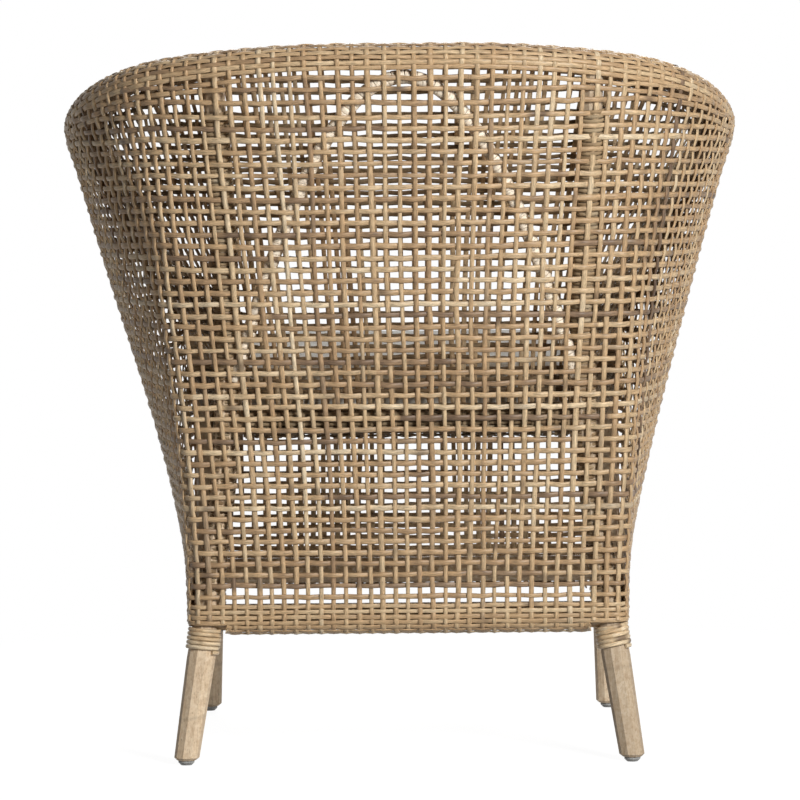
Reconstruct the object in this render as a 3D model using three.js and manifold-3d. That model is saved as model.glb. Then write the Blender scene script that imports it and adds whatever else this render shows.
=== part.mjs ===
// A woven rattan tub chair on four short pole legs, built as its maker builds it: a frame of bent
// poles, an open-woven skin outside it and another inside it, and a loose cushion in the seat.
// Millimetres, +Z up. The sitter faces -Y. The rear feet stand at y = 0 until the last lines
// bring the middle of the outline to the origin, on the floor.

import * as THREE from "three";
import { mergeVertices } from "three/addons/utils/BufferGeometryUtils.js";
import Module from "manifold-3d";

const wasm = await Module();
wasm.setup();

// Driving sizes of the whole chair
const rimHeight = 786; // centre of the rim pole at the back
const rimHalfWidth = 356; // centre of the rim pole at its widest
const rimOverhang = 75; // how far the rim at the back lies behind the rear feet
const armDepth = 487; // from the rear feet forward to where the arm turns down
const footDepth = 500; // from the rear feet to the front feet
const rearFootHalfSpan = 248;
const frontFootHalfSpan = 232;
const bottomRailHeight = 163; // centre of the rails at the bottom of the weave
const seatRailHeight = 382; // centre of the rails round the seat

// Poles
const poleDiameter = 30;
const rimPoleDiameter = 26;
const archPoleDiameter = 14;
const slatDiameter = 18;
const poleSides = 10;
const thinPoleSides = 8;
const jointGap = 0.3; // where one pole seats on another

// Legs: shaved thicker below the weave, thinner at the foot
const footDiameter = 28;
const shinDiameter = 32;
const shinHeight = 118;
const kneeHeight = 150; // the pole is bent here, just inside the weave
const rearKneeHalfSpan = 225;
const rearKneeInset = 12; // how far forward of its foot the rear knee stands
const frontKneeHalfSpan = 230;
const waistHeight = 400; // the rear poles stand closest together here
const rearWaistHalfSpan = 197;
const rearHeadHalfSpan = 208;
const rearHeadDiameter = 22; // pared where the two skins close on it
const rearHeadDrop = 8; // from the middle of the rim pole down to the top of the head
const postHeadDiameter = 26;
const postHeadRise = 33; // of the front poles' heads over the middle of the seat rails
const postHeadHeight = seatRailHeight + postHeadRise;
const armRise = 55; // from the front poles' heads up to the middle of the rim where the arm turns down
const armHeight = postHeadHeight + armRise;
const postHeadHalfSpan = 229;

// Glides under the feet
const glideHeight = 5;
const glideDiameter = 18;
const glideEdge = 3;
const soleHeight = glideHeight + jointGap;
const soleEaseHeight = 3; // where the foot's edge is cut off
const soleEase = 3.5;

// Cane bindings round the legs under the weave
const bindingTurns = 5;
const bindingPitch = 4.9;
const bindingDiameter = 3.6;
const bindingSteps = 12;
const bindingSides = 5;

// Seat
const slatCount = 5;
const slatPitch = 70;
const slatDrop = 1; // from the middle of the seat rails down to the tops of the slats
const slatTop = seatRailHeight - slatDrop;
const innerCornerRadius = 42;
const innerFrontGap = 1; // between the inner skins and the front seat rail

// Woven skins
const skinThickness = 5;
const skinGap = 1.1; // between a skin and the poles that it clads
const rimSkinGap = 2.2; // the same at the rim, which is bent more
const seamGap = 0.6; // between two skins side by side
const weaveBottom = bottomRailHeight - poleDiameter / 2; // the outer skin ends under its rails
const bindingDrop = 3; // from there down to the bindings
const bindingTop = weaveBottom - bindingDrop;
const innerBottom = slatTop + jointGap; // the inner skin stands on the ends of the slats
const rimLap = 2; // the skins stop this far under the middle of the rim pole
const stakeWidth = 13;
const rowWidth = 12;
const rimBand = 26; // close weave along the rim
const footBand = 34; // close weave along the bottom rail
const edgeBand = 16; // close weave down the sides of a skin
const outerCorner = 32; // close weave round the rear leg
const cornerSteps = 4;

// Gaps of each net, across and up
const outerBackNet = [11, 10];
const outerSideNet = [7, 8];
const innerBackNet = [7, 6];
const innerSideNet = [7, 5];
const apronNet = [8, 4];

// Back arch
const archFootRise = 48; // from the middle of the seat rails up to its ends in the rear poles
const archFootHeight = seatRailHeight + archFootRise;
const archSteps = 32;
const rimSteps = 54;

// Cushion
const cushionThickness = 56; // at its edge
const cushionCrown = 13;
const cushionMargin = 5; // to the skins and the front rail
const cushionCorner = 58;
const cushionDrawIn = 7;
const cushionBulge = 5;
const cushionPoints = 48;
const cushionEdgeSteps = 6;

// Shape of the rim from the back to the arm: shares of its half width, of its depth from the back
// to where the arm turns down, and of its height above that place
const rimShares = [
  [0, 0, 1],
  [0.309, 0.005, 0.997],
  [0.576, 0.041, 0.972],
  [0.792, 0.116, 0.927],
  [0.938, 0.244, 0.858],
  [1, 0.4, 0.75],
  [0.972, 0.534, 0.655],
  [0.871, 0.683, 0.455],
  [0.758, 0.833, 0.2],
  [0.685, 0.934, 0.063],
  [0.66, 1, 0],
];
// How far out the outer skin stands at shares of its height, from the bottom rail to the rim
const flareShares = [0, 0.01, 0.085, 0.18, 0.285, 0.4, 0.52, 0.64, 0.76, 0.88, 1];
// Rings of the cushion's crown, as shares of the way from its edge to its middle
const crownShares = [0.12, 0.3, 0.52, 0.76, 0.95];
const innerBackPower = 1.25;
const sillShare = 0.07; // of the inner skin's height, close weave upright beside the seat rail
// Places along the inner skin between which its back turns into its side
const innerBellyShares = [0.32, 0.55];
const innerSidePower = 0.72;

// Materials
const poleWood = new THREE.MeshStandardMaterial({ color: 0x9a8d78, roughness: 0.6, metalness: 0 });
const frameWood = new THREE.MeshStandardMaterial({ color: 0xa88d66, roughness: 0.6, metalness: 0 });
const outerCane = new THREE.MeshStandardMaterial({ color: 0xa5906f, roughness: 0.6, metalness: 0 });
const innerCane = new THREE.MeshStandardMaterial({ color: 0x94815f, roughness: 0.65, metalness: 0 });
const bindingCane = new THREE.MeshStandardMaterial({ color: 0xc9a878, roughness: 0.5, metalness: 0 });
const linen = new THREE.MeshStandardMaterial({ color: 0xdcdcda, roughness: 0.95, metalness: 0 });
const glidePlastic = new THREE.MeshStandardMaterial({ color: 0x6e6b66, roughness: 0.7, metalness: 0 });

const nearly = 1e-6;
const outerBackLimit = 0.4;

// Geometry helpers

function bufferOf(points, faces) {
  const geometry = new THREE.BufferGeometry().setFromPoints(points);
  geometry.setIndex(faces);
  return geometry;
}

// The value at a place from 0 to 1 along an even table, on a smooth curve through its entries.
function smoothShare(shares, place) {
  const curve = new THREE.SplineCurve(shares.map((share, i) => new THREE.Vector2(i, share)));
  return curve.getPoint(THREE.MathUtils.clamp(place, 0, 1)).y;
}

function circleShape(radius, sides) {
  const corners = Array.from({ length: sides }, (_, i) => {
    const angle = (2 * Math.PI * (i + 0.5)) / sides;
    return new THREE.Vector2(radius * Math.cos(angle), radius * Math.sin(angle));
  });
  return new THREE.Shape(corners);
}

// A pole of one diameter along a curve.
function poleAlong(curve, diameter, steps, sides) {
  return new THREE.ExtrudeGeometry(circleShape(diameter / 2, sides), {
    steps,
    bevelEnabled: false,
    extrudePath: curve,
  });
}

function straightPole(from, to, diameter, sides) {
  return poleAlong(new THREE.LineCurve3(from, to), diameter, 1, sides);
}

// A closed solid through rings of points, capped at both ends.
function loftRings(rings) {
  const sides = rings[0].length;
  const faces = [];
  for (let ring = 0; ring + 1 < rings.length; ring++) {
    for (let i = 0; i < sides; i++) {
      const a = ring * sides + i;
      const b = ring * sides + ((i + 1) % sides);
      faces.push(a, b, b + sides, a, b + sides, a + sides);
    }
  }
  const last = (rings.length - 1) * sides;
  for (let i = 1; i + 1 < sides; i++) {
    faces.push(0, i + 1, i, last, last + i, last + i + 1);
  }
  return bufferOf(rings.flat(), faces);
}

// A shaved pole with level ends: a level ring of facets at each height.
function shavedPole(heights, middleAt, radiusAt) {
  const rings = heights.map((height) => {
    const middle = middleAt(height);
    const radius = radiusAt(height);
    return Array.from({ length: poleSides }, (_, i) => {
      const angle = (2 * Math.PI * i) / poleSides;
      return new THREE.Vector3(
        middle.x + radius * Math.cos(angle),
        middle.y + radius * Math.sin(angle),
        height,
      );
    });
  });
  return loftRings(rings);
}

function solidOf(geometry) {
  const bare = geometry.clone();
  for (const name of Object.keys(bare.attributes)) {
    if (name !== "position") bare.deleteAttribute(name);
  }
  const merged = mergeVertices(bare);
  const mesh = new wasm.Mesh({
    numProp: 3,
    vertProperties: merged.attributes.position.array,
    triVerts: new Uint32Array(merged.index.array),
  });
  return new wasm.Manifold(mesh);
}

function geometryOf(solid) {
  const { vertProperties, triVerts } = solid.getMesh();
  const geometry = new THREE.BufferGeometry();
  geometry.setAttribute("position", new THREE.BufferAttribute(vertProperties, 3));
  geometry.setIndex(new THREE.BufferAttribute(triVerts, 1));
  return geometry;
}

// The geometry with the room of each seat cut away, which shapes a pole's end to its neighbour.
function coped(geometry, seats) {
  return geometryOf(seats.reduce((left, seat) => left.subtract(solidOf(seat)), solidOf(geometry)));
}

// Lines across a net for a length in millimetres: wide bands at both ends, bars and gaps between.
// Each line says where it lies, from 0 to 1, and whether a gap follows it.
function netLines(length, gaps, bar, firstBand, lastBand, firstBandSteps) {
  const gap = (length - firstBand - lastBand - (gaps - 1) * bar) / gaps;
  const lines = [];
  for (let i = 0; i < firstBandSteps; i++) {
    lines.push({ at: (firstBand * i) / firstBandSteps / length, open: false });
  }
  for (let i = 0; i < gaps; i++) {
    const start = firstBand + i * (gap + bar);
    lines.push({ at: start / length, open: true });
    lines.push({ at: (start + gap) / length, open: false });
  }
  lines.push({ at: 1, open: false });
  return lines;
}

// A net of one thickness on a surface, with a hole where a gap across meets a gap up. The surface
// gives a point for two places from 0 to 1, and turn is -1 where its own normal points inwards.
function netPanel(surface, across, up, thickness, turn) {
  const nudge = 1e-3;
  const columns = across.length;
  const layer = columns * up.length;
  const outside = [];
  const inside = [];
  for (const { at: v } of up) {
    for (const { at: u } of across) {
      const alongU = surface(u + nudge, v).sub(surface(u - nudge, v));
      const alongV = surface(u, v + nudge).sub(surface(u, v - nudge));
      const normal = alongU.cross(alongV).setLength((turn * thickness) / 2);
      outside.push(surface(u, v).add(normal));
      inside.push(surface(u, v).sub(normal));
    }
  }
  const solidCell = (i, j) =>
    i >= 0 && j >= 0 && i < columns - 1 && j < up.length - 1 && !(across[i].open && up[j].open);
  const faces = [];
  const quad = (a, b, c, d) =>
    turn > 0 ? faces.push(a, b, c, a, c, d) : faces.push(a, c, b, a, d, c);
  for (let j = 0; j < up.length - 1; j++) {
    for (let i = 0; i < columns - 1; i++) {
      if (!solidCell(i, j)) continue;
      const a = j * columns + i;
      const b = a + 1;
      const c = b + columns;
      const d = a + columns;
      quad(a, b, c, d);
      quad(layer + a, layer + d, layer + c, layer + b);
      if (!solidCell(i, j - 1)) quad(a, layer + a, layer + b, b);
      if (!solidCell(i + 1, j)) quad(b, layer + b, layer + c, c);
      if (!solidCell(i, j + 1)) quad(c, layer + c, layer + d, d);
      if (!solidCell(i - 1, j)) quad(d, layer + d, layer + a, a);
    }
  }
  return bufferOf([...outside, ...inside], faces);
}

// The rim: a bent pole from one arm front round the back to the other

function rimPoint([widthShare, depthShare, heightShare], side) {
  return new THREE.Vector3(
    side * widthShare * rimHalfWidth,
    rimOverhang - depthShare * (rimOverhang + armDepth),
    armHeight + heightShare * (rimHeight - armHeight),
  );
}

function rimSide(side) {
  const bend = new THREE.Vector3(
    side * (postHeadHalfSpan + 1.5 * jointGap),
    -footDepth + jointGap,
    (armHeight + postHeadHeight) / 2,
  );
  const end = new THREE.Vector3(side * postHeadHalfSpan, -footDepth, postHeadHeight + jointGap);
  return [...rimShares.slice(1).map((shares) => rimPoint(shares, side)), bend, end];
}

const rimPoints = [...rimSide(-1).reverse(), rimPoint(rimShares[0], 1), ...rimSide(1)];
const rimCurve = new THREE.CatmullRomCurve3(rimPoints, false, "catmullrom", 0.5);

// Places along the half rim by its length in plan, 0 at the back and 1 where the arm turns down.
const rimTable = (() => {
  const samples = 240;
  const first = 0.5;
  const last = 1 - 2 / (rimPoints.length - 1);
  const table = [{ length: 0, point: rimCurve.getPoint(first) }];
  for (let i = 1; i <= samples; i++) {
    const point = rimCurve.getPoint(first + ((last - first) * i) / samples);
    const before = table[i - 1];
    const step = Math.hypot(point.x - before.point.x, point.y - before.point.y);
    table.push({ length: before.length + step, point });
  }
  return table;
})();

function rimAt(place) {
  const wanted = Math.abs(place) * rimTable.at(-1).length;
  let i = rimTable.findIndex(({ length }) => length >= wanted);
  if (i < 1) i = wanted > 0 ? rimTable.length - 1 : 1;
  const [before, after] = [rimTable[i - 1], rimTable[i]];
  const share = (wanted - before.length) / (after.length - before.length);
  const point = before.point.clone().lerp(after.point, share);
  point.x *= Math.sign(place) || 1;
  return point;
}

// The level direction that points out of the seat at a place along the rim.
function rimOutward(place) {
  const nudge = 2e-3;
  const along = rimAt(place + nudge).sub(rimAt(place - nudge));
  return new THREE.Vector3(along.y, -along.x, 0).normalize().negate();
}

// Outer and inner wall surfaces: places run from -1 at the left arm to 1 at the right, and from 0
// at the lower edge to 1 at the rim

const clad = (poleDiameter + skinThickness) / 2 + skinGap;
const rimClad = (rimPoleDiameter + skinThickness) / 2 + rimSkinGap;

const outerBase = new THREE.Path();
outerBase.moveTo(0, -rearKneeInset + clad);
outerBase.lineTo(rearKneeHalfSpan, -rearKneeInset + clad);
outerBase.absarc(rearKneeHalfSpan, -rearKneeInset, clad, Math.PI / 2, 0, true);
outerBase.lineTo(frontKneeHalfSpan + clad, -footDepth);

function planPoint(path, place) {
  const point = path.getPointAt(Math.min(Math.abs(place), 1));
  return new THREE.Vector3(point.x * (Math.sign(place) || 1), point.y, 0);
}

function wallPoint(base, baseHeight, place, height, spread, offset) {
  const rim = rimAt(place);
  const top = rim.clone().addScaledVector(rimOutward(place), offset);
  const point = planPoint(base, place).lerp(top, spread);
  point.z = baseHeight + height * (rim.z - rimLap - baseHeight);
  return point;
}

function outerWall(place, height) {
  return wallPoint(outerBase, weaveBottom, place, height, smoothShare(flareShares, height), rimClad);
}

// The outer skin's middle at a distance from the chair's own middle and at a height, on the back.
function outerBackY(x, height) {
  const pointAt = (place) =>
    outerWall(place, (height - weaveBottom) / (rimAt(place).z - rimLap - weaveBottom));
  let [near, far] = [0, outerBackLimit];
  for (let i = 0; i < 24; i++) {
    const middle = (near + far) / 2;
    if (pointAt(middle).x < Math.abs(x)) near = middle;
    else far = middle;
  }
  return pointAt(near).y;
}

// Rear poles: foot, splayed shin, knee, waist and head, in one bent length

// The head reaches up beside the rim pole, which it is coped to.
const rearHeadHeight =
  rimTable.find(({ point }) => point.x >= rearHeadHalfSpan).point.z - rearHeadDrop;
const rearBend = new THREE.CatmullRomCurve3([
  new THREE.Vector3(rearFootHalfSpan, 0, 0),
  new THREE.Vector3(rearKneeHalfSpan, 0, kneeHeight),
  new THREE.Vector3(rearWaistHalfSpan, 0, waistHeight),
  new THREE.Vector3(rearHeadHalfSpan, 0, rearHeadHeight),
]);

function bendAt(height) {
  let [low, high] = [0, 1];
  for (let i = 0; i < 24; i++) {
    const middle = (low + high) / 2;
    if (rearBend.getPoint(middle).z < height) low = middle;
    else high = middle;
  }
  return rearBend.getPoint(low).x;
}

// The pole leans forward up to the knee, then back with the outer skin, which it stands against.
function rearPoleMiddle(side, height) {
  if (height < kneeHeight) {
    const span = THREE.MathUtils.mapLinear(
      height,
      0,
      kneeHeight,
      rearFootHalfSpan,
      rearKneeHalfSpan,
    );
    return new THREE.Vector3(side * span, (-rearKneeInset * height) / kneeHeight, 0);
  }
  const x = bendAt(height);
  const keepOff = skinThickness / 2 + skinGap + rearPoleRadius(height);
  return new THREE.Vector3(side * x, outerBackY(x, height) - keepOff, 0);
}

function rearPoleRadius(height) {
  const footHeight = soleHeight + soleEaseHeight;
  const stations = [soleHeight, footHeight, shinHeight, kneeHeight, waistHeight, rearHeadHeight];
  const diameters = [
    footDiameter - 2 * soleEase,
    footDiameter,
    shinDiameter,
    poleDiameter,
    poleDiameter,
    rearHeadDiameter,
  ];
  const next = Math.max(1, stations.findIndex((station) => station >= height - nearly));
  return (
    THREE.MathUtils.mapLinear(
      height,
      stations[next - 1],
      stations[next],
      diameters[next - 1],
      diameters[next],
    ) / 2
  );
}

function evenHeights(from, to, steps) {
  return Array.from({ length: steps }, (_, i) => THREE.MathUtils.lerp(from, to, (i + 1) / steps));
}

const shinHeights = [
  soleHeight,
  soleHeight + soleEaseHeight,
  shinHeight / 2,
  shinHeight,
  kneeHeight,
];
const rearHeights = [
  ...shinHeights,
  ...evenHeights(kneeHeight, waistHeight, 6),
  ...evenHeights(waistHeight, rearHeadHeight, 9),
];

// Front posts: foot to arm front, almost straight

function frontPoleMiddle(side, height) {
  const spans = [frontFootHalfSpan, frontKneeHalfSpan, postHeadHalfSpan];
  const stations = [0, kneeHeight, postHeadHeight];
  const next = height > kneeHeight ? 2 : 1;
  const span = THREE.MathUtils.mapLinear(
    height,
    stations[next - 1],
    stations[next],
    spans[next - 1],
    spans[next],
  );
  return new THREE.Vector3(side * span, -footDepth, 0);
}

function frontPoleRadius(height) {
  if (height < kneeHeight) return rearPoleRadius(height);
  const pared = THREE.MathUtils.smoothstep(height, seatRailHeight, postHeadHeight);
  return THREE.MathUtils.lerp(poleDiameter, postHeadDiameter, pared) / 2;
}

const frontHeights = [...shinHeights, seatRailHeight, ...evenHeights(seatRailHeight, postHeadHeight, 2)];

// Inner wall, round the inside of the seat rails

const seatRear = rearPoleMiddle(1, seatRailHeight);
const seatFront = frontPoleMiddle(1, seatRailHeight);
const innerBackY = seatRear.y - clad;
const innerSideX = (y) =>
  THREE.MathUtils.mapLinear(y, seatRear.y, seatFront.y, seatRear.x, seatFront.x) - clad;
const innerFront = -footDepth + poleDiameter / 2 + innerFrontGap;
const innerBackHalfSpan = innerSideX(innerBackY - innerCornerRadius) - innerCornerRadius;
const innerBase = new THREE.Path();
innerBase.moveTo(0, innerBackY);
innerBase.lineTo(innerBackHalfSpan, innerBackY);
innerBase.absarc(
  innerBackHalfSpan,
  innerBackY - innerCornerRadius,
  innerCornerRadius,
  Math.PI / 2,
  0,
  true,
);
innerBase.lineTo(innerSideX(innerFront), innerFront);

// The inner skin stands upright beside the seat rails. Above them it bellies out at the sides and
// stays straighter at the back.
function innerWall(place, height) {
  const side = THREE.MathUtils.smoothstep(Math.abs(place), ...innerBellyShares);
  const power = THREE.MathUtils.lerp(innerBackPower, innerSidePower, side);
  const spread = Math.max((height - sillShare) / (1 - sillShare), 0) ** power;
  return wallPoint(innerBase, innerBottom, place, height, spread, -rimClad);
}

// Each pole as its heights, middle and radius; the left one is on the side of -X.
const sides = [-1, 1];
const rearPoles = sides.map((side) => ({
  heights: rearHeights,
  middleAt: (height) => rearPoleMiddle(side, height),
  radiusAt: rearPoleRadius,
}));
const frontPoles = sides.map((side) => ({
  heights: frontHeights,
  middleAt: (height) => frontPoleMiddle(side, height),
  radiusAt: frontPoleRadius,
}));

function poleBody({ heights, middleAt, radiusAt }) {
  return shavedPole(heights, middleAt, radiusAt);
}

// The room that a pole takes with its joint gap, for coping what meets it.
function poleRoom({ heights, middleAt, radiusAt }) {
  return shavedPole(heights, middleAt, (height) => radiusAt(height) + jointGap);
}

const rimPole = poleAlong(rimCurve, rimPoleDiameter, rimSteps, poleSides);
const rimRoom = poleAlong(rimCurve, rimPoleDiameter + 2 * jointGap, rimSteps, poleSides);

// Rails between the four poles at one height, their ends coped to the poles

function railBetween(from, to, height, diameter) {
  const [start, end] = [from, to].map((pole) => pole.middleAt(height).setZ(height));
  return straightPole(start, end, diameter, poleSides);
}

function railsAt(height) {
  const rooms = [...rearPoles, ...frontPoles].map(poleRoom);
  const pairs = { rear: rearPoles, front: frontPoles };
  const cross = Object.values(pairs).map(([left, right]) =>
    railBetween(left, right, height, poleDiameter + 2 * jointGap),
  );
  const rails = {};
  for (const [name, [left, right]] of Object.entries(pairs)) {
    rails[name] = coped(railBetween(left, right, height, poleDiameter), rooms);
  }
  ["left", "right"].forEach((name, i) => {
    const rail = railBetween(rearPoles[i], frontPoles[i], height, poleDiameter);
    rails[name] = coped(rail, [...rooms, ...cross]);
  });
  return rails;
}

// Slats from the rear seat rail to the front one, coped to both
function seatSlats() {
  const height = slatTop - (slatDiameter / 2) * Math.cos(Math.PI / thinPoleSides);
  const depths = [rearPoles[1], frontPoles[1]].map((pole) => pole.middleAt(seatRailHeight).y);
  const rooms = depths.map((y) =>
    straightPole(
      new THREE.Vector3(-rimHalfWidth, y, seatRailHeight),
      new THREE.Vector3(rimHalfWidth, y, seatRailHeight),
      poleDiameter + 2 * jointGap,
      poleSides,
    ),
  );
  return Array.from({ length: slatCount }, (_, i) => {
    const x = (i - (slatCount - 1) / 2) * slatPitch;
    const [start, end] = depths.map((y) => new THREE.Vector3(x, y, height));
    return coped(straightPole(start, end, slatDiameter, thinPoleSides), rooms);
  });
}

// The arch: a thin pole bent as a parabola from one rear pole up under the rim and down again
function backArch() {
  const apex = rimHeight - (rimPoleDiameter + archPoleDiameter) / 2 - jointGap;
  const footX = bendAt(archFootHeight) - poleDiameter / 3;
  const keepOff = skinThickness / 2 + skinGap + archPoleDiameter / 2;
  const points = Array.from({ length: archSteps + 1 }, (_, i) => {
    const across = (2 * i) / archSteps - 1;
    const height = apex - (apex - archFootHeight) * across * across;
    const y = outerBackY(across * footX, height) - keepOff;
    return new THREE.Vector3(across * footX, y, height);
  });
  const curve = new THREE.CatmullRomCurve3(points);
  const arch = poleAlong(curve, archPoleDiameter, archSteps, thinPoleSides);
  return coped(arch, rearPoles.map(poleRoom));
}

// Cane bindings: one strand wound round each leg, its two ends running off straight

function bindingPoints({ middleAt, radiusAt }) {
  const steps = bindingTurns * bindingSteps;
  const points = Array.from({ length: steps + 1 }, (_, i) => {
    const angle = (2 * Math.PI * i) / bindingSteps;
    const height = bindingTop - bindingDiameter / 2 - (bindingPitch * i) / bindingSteps;
    const reach = radiusAt(height) + jointGap + bindingDiameter / 2;
    const radius = reach / Math.cos(Math.PI / bindingSteps);
    const middle = middleAt(height);
    return new THREE.Vector3(
      middle.x + radius * Math.cos(angle),
      middle.y + radius * Math.sin(angle),
      height,
    );
  });
  const runOff = (end, before) =>
    end.clone().addScaledVector(end.clone().sub(before).normalize(), bindingDiameter);
  return [runOff(points[0], points[1]), ...points, runOff(points[steps], points[steps - 1])];
}

function legBinding(pole) {
  const points = bindingPoints(pole);
  const rings = points.map((point, i) => {
    const along = points[Math.min(i + 1, points.length - 1)]
      .clone()
      .sub(points[Math.max(i - 1, 0)])
      .normalize();
    const outward = point.clone().sub(pole.middleAt(point.z)).setZ(0).cross(along).cross(along);
    outward.normalize().negate();
    const across = along.clone().cross(outward);
    return Array.from({ length: bindingSides }, (_, k) => {
      const angle = (2 * Math.PI * k) / bindingSides;
      return point
        .clone()
        .addScaledVector(outward, (Math.cos(angle) * bindingDiameter) / 2)
        .addScaledVector(across, (Math.sin(angle) * bindingDiameter) / 2);
    });
  });
  return loftRings(rings);
}

function leastTurnGap(pole) {
  const points = bindingPoints(pole);
  let least = Infinity;
  points.forEach((point, i) => {
    for (let j = i + Math.ceil(bindingSteps / 2); j < points.length; j++) {
      least = Math.min(least, point.distanceTo(points[j]) - bindingDiameter);
    }
  });
  return least;
}

// Glides: plain discs with an eased lower edge
function glide({ middleAt }) {
  const radius = glideDiameter / 2;
  const profile = [
    new THREE.Vector2(0, 0),
    new THREE.Vector2(radius - glideEdge, 0),
    new THREE.Vector2(radius, glideEdge),
    new THREE.Vector2(radius, glideHeight),
    new THREE.Vector2(0, glideHeight),
  ];
  const disc = new THREE.LatheGeometry(profile, 20);
  disc.rotateX(Math.PI / 2);
  const middle = middleAt(glideHeight);
  return disc.translate(middle.x, middle.y, 0);
}

// Skins

const outerLength = outerBase.getLength();
const innerLength = innerBase.getLength();
const outerSkin = {
  wall: outerWall,
  length: outerLength,
  seam: rearKneeHalfSpan / outerLength,
  bottom: weaveBottom,
  lowBandOf: () => footBand,
  corner: { band: outerCorner, steps: cornerSteps },
  backNet: outerBackNet,
  sideNet: outerSideNet,
};
const innerSkin = {
  wall: innerWall,
  length: innerLength,
  seam: innerBackHalfSpan / innerLength,
  bottom: innerBottom,
  lowBandOf: (height) => sillShare * height,
  corner: { band: edgeBand, steps: 1 },
  backNet: innerBackNet,
  sideNet: innerSideNet,
};

function backPanel({ wall, length, seam, bottom, lowBandOf, backNet: [columns, rows] }) {
  const half = seam - seamGap / length;
  const height = rimHeight - bottom;
  const across = netLines(2 * half * length, columns, stakeWidth, edgeBand, edgeBand, 1);
  const up = netLines(height, rows, rowWidth, lowBandOf(height), rimBand, 1);
  return netPanel((u, v) => wall((1 - 2 * u) * half, v), across, up, skinThickness, 1);
}

function sidePanel(side, { wall, length, seam, bottom, lowBandOf, corner, sideNet: [columns, rows] }) {
  const run = 1 - seam;
  const height = rimAt(1 - run / 2).z - bottom;
  const across = netLines(run * length, columns, stakeWidth, corner.band, edgeBand, corner.steps);
  const up = netLines(height, rows, rowWidth, lowBandOf(height), rimBand, 1);
  return netPanel((u, v) => wall(side * (seam + u * run), v), across, up, skinThickness, -side);
}

// The front skin is flat: it closes the chair below the seat, outside the legs and both rails.
function frontApron() {
  const halfWidth = frontKneeHalfSpan;
  const top = seatRailHeight + poleDiameter / 2;
  const y = -footDepth - (poleDiameter + skinThickness) / 2 - jointGap;
  const across = netLines(2 * halfWidth, apronNet[0], stakeWidth, edgeBand, edgeBand, 1);
  const up = netLines(top - weaveBottom, apronNet[1], rowWidth, footBand, poleDiameter, 1);
  const surface = (u, v) =>
    new THREE.Vector3((2 * u - 1) * halfWidth, y, THREE.MathUtils.lerp(weaveBottom, top, v));
  return netPanel(surface, across, up, skinThickness, 1);
}

// Seat cushion: round corners, sides drawn in between them, a soft edge and a low crown

function cushionOutline() {
  const keepOff = skinThickness / 2 + cushionMargin;
  const rear = innerBackY - keepOff;
  const front = -footDepth + poleDiameter / 2 + cushionMargin;
  const corners = [
    new THREE.Vector2(innerSideX(rear) - keepOff, rear),
    new THREE.Vector2(-innerSideX(rear) + keepOff, rear),
    new THREE.Vector2(-innerSideX(front) + keepOff, front),
    new THREE.Vector2(innerSideX(front) - keepOff, front),
  ];
  const outline = new THREE.Path();
  corners.forEach((corner, i) => {
    const before = corners[(i + 3) % 4];
    const after = corners[(i + 1) % 4];
    const enter = corner.clone().add(before.clone().sub(corner).setLength(cushionCorner));
    const leave = corner.clone().add(after.clone().sub(corner).setLength(cushionCorner));
    const arrive = after.clone().add(corner.clone().sub(after).setLength(cushionCorner));
    const along = after.clone().sub(corner).normalize();
    const inward = new THREE.Vector2(-along.y, along.x);
    const middle = leave.clone().lerp(arrive, 0.5).addScaledVector(inward, 2 * cushionDrawIn);
    if (i === 0) outline.moveTo(enter.x, enter.y);
    outline.quadraticCurveTo(corner.x, corner.y, leave.x, leave.y);
    outline.quadraticCurveTo(middle.x, middle.y, arrive.x, arrive.y);
  });
  return outline.getSpacedPoints(cushionPoints).slice(0, cushionPoints);
}

// Rings of the cushion: how far each is drawn in from the outline, and its height.
function cushionRings() {
  const edge = Array.from({ length: cushionEdgeSteps + 1 }, (_, i) => {
    const angle = Math.PI * (i / cushionEdgeSteps - 0.5);
    return {
      inset: cushionBulge * (1 - Math.cos(angle)) ** 2 + (cushionBulge * (1 - Math.cos(angle))) / 3,
      height: (cushionThickness * (1 + Math.sin(angle))) / 2,
    };
  });
  const crown = crownShares.map((share) => ({
    share,
    height: cushionThickness + cushionCrown * Math.sin((share * Math.PI) / 2),
  }));
  return [...edge, ...crown];
}

function seatCushion() {
  const outline = cushionOutline();
  const middle = outline
    .reduce((sum, point) => sum.add(point), new THREE.Vector2())
    .divideScalar(outline.length);
  const bottom = slatTop + jointGap;
  const rings = cushionRings().map(({ inset = cushionBulge, share = 0, height }) =>
    outline.map((point) => {
      const reach = point.clone().sub(middle);
      reach.setLength((reach.length() - inset) * (1 - share));
      return new THREE.Vector3(middle.x + reach.x, middle.y + reach.y, bottom + height);
    }),
  );
  return loftRings(rings);
}

// The chair

const chair = new THREE.Group();

function add(name, geometry, material) {
  const mesh = new THREE.Mesh(geometry, material);
  mesh.name = name;
  chair.add(mesh);
}

const sideNames = ["left", "right"];
sideNames.forEach((name, i) => {
  const side = sides[i];
  add(`rear_pole_${name}`, coped(poleBody(rearPoles[i]), [rimRoom]), poleWood);
  add(`front_pole_${name}`, poleBody(frontPoles[i]), poleWood);
  add(`rear_leg_binding_${name}`, legBinding(rearPoles[i]), bindingCane);
  add(`front_leg_binding_${name}`, legBinding(frontPoles[i]), bindingCane);
  add(`rear_glide_${name}`, glide(rearPoles[i]), glidePlastic);
  add(`front_glide_${name}`, glide(frontPoles[i]), glidePlastic);
  add(`outer_weave_${name}`, sidePanel(side, outerSkin), outerCane);
  add(`inner_weave_${name}`, sidePanel(side, innerSkin), innerCane);
});
add("rim_pole", rimPole, frameWood);
add("back_arch", backArch(), frameWood);
for (const [name, rail] of Object.entries(railsAt(bottomRailHeight))) {
  add(`bottom_rail_${name}`, rail, frameWood);
}
for (const [name, rail] of Object.entries(railsAt(seatRailHeight))) {
  add(`seat_rail_${name}`, rail, frameWood);
}
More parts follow.
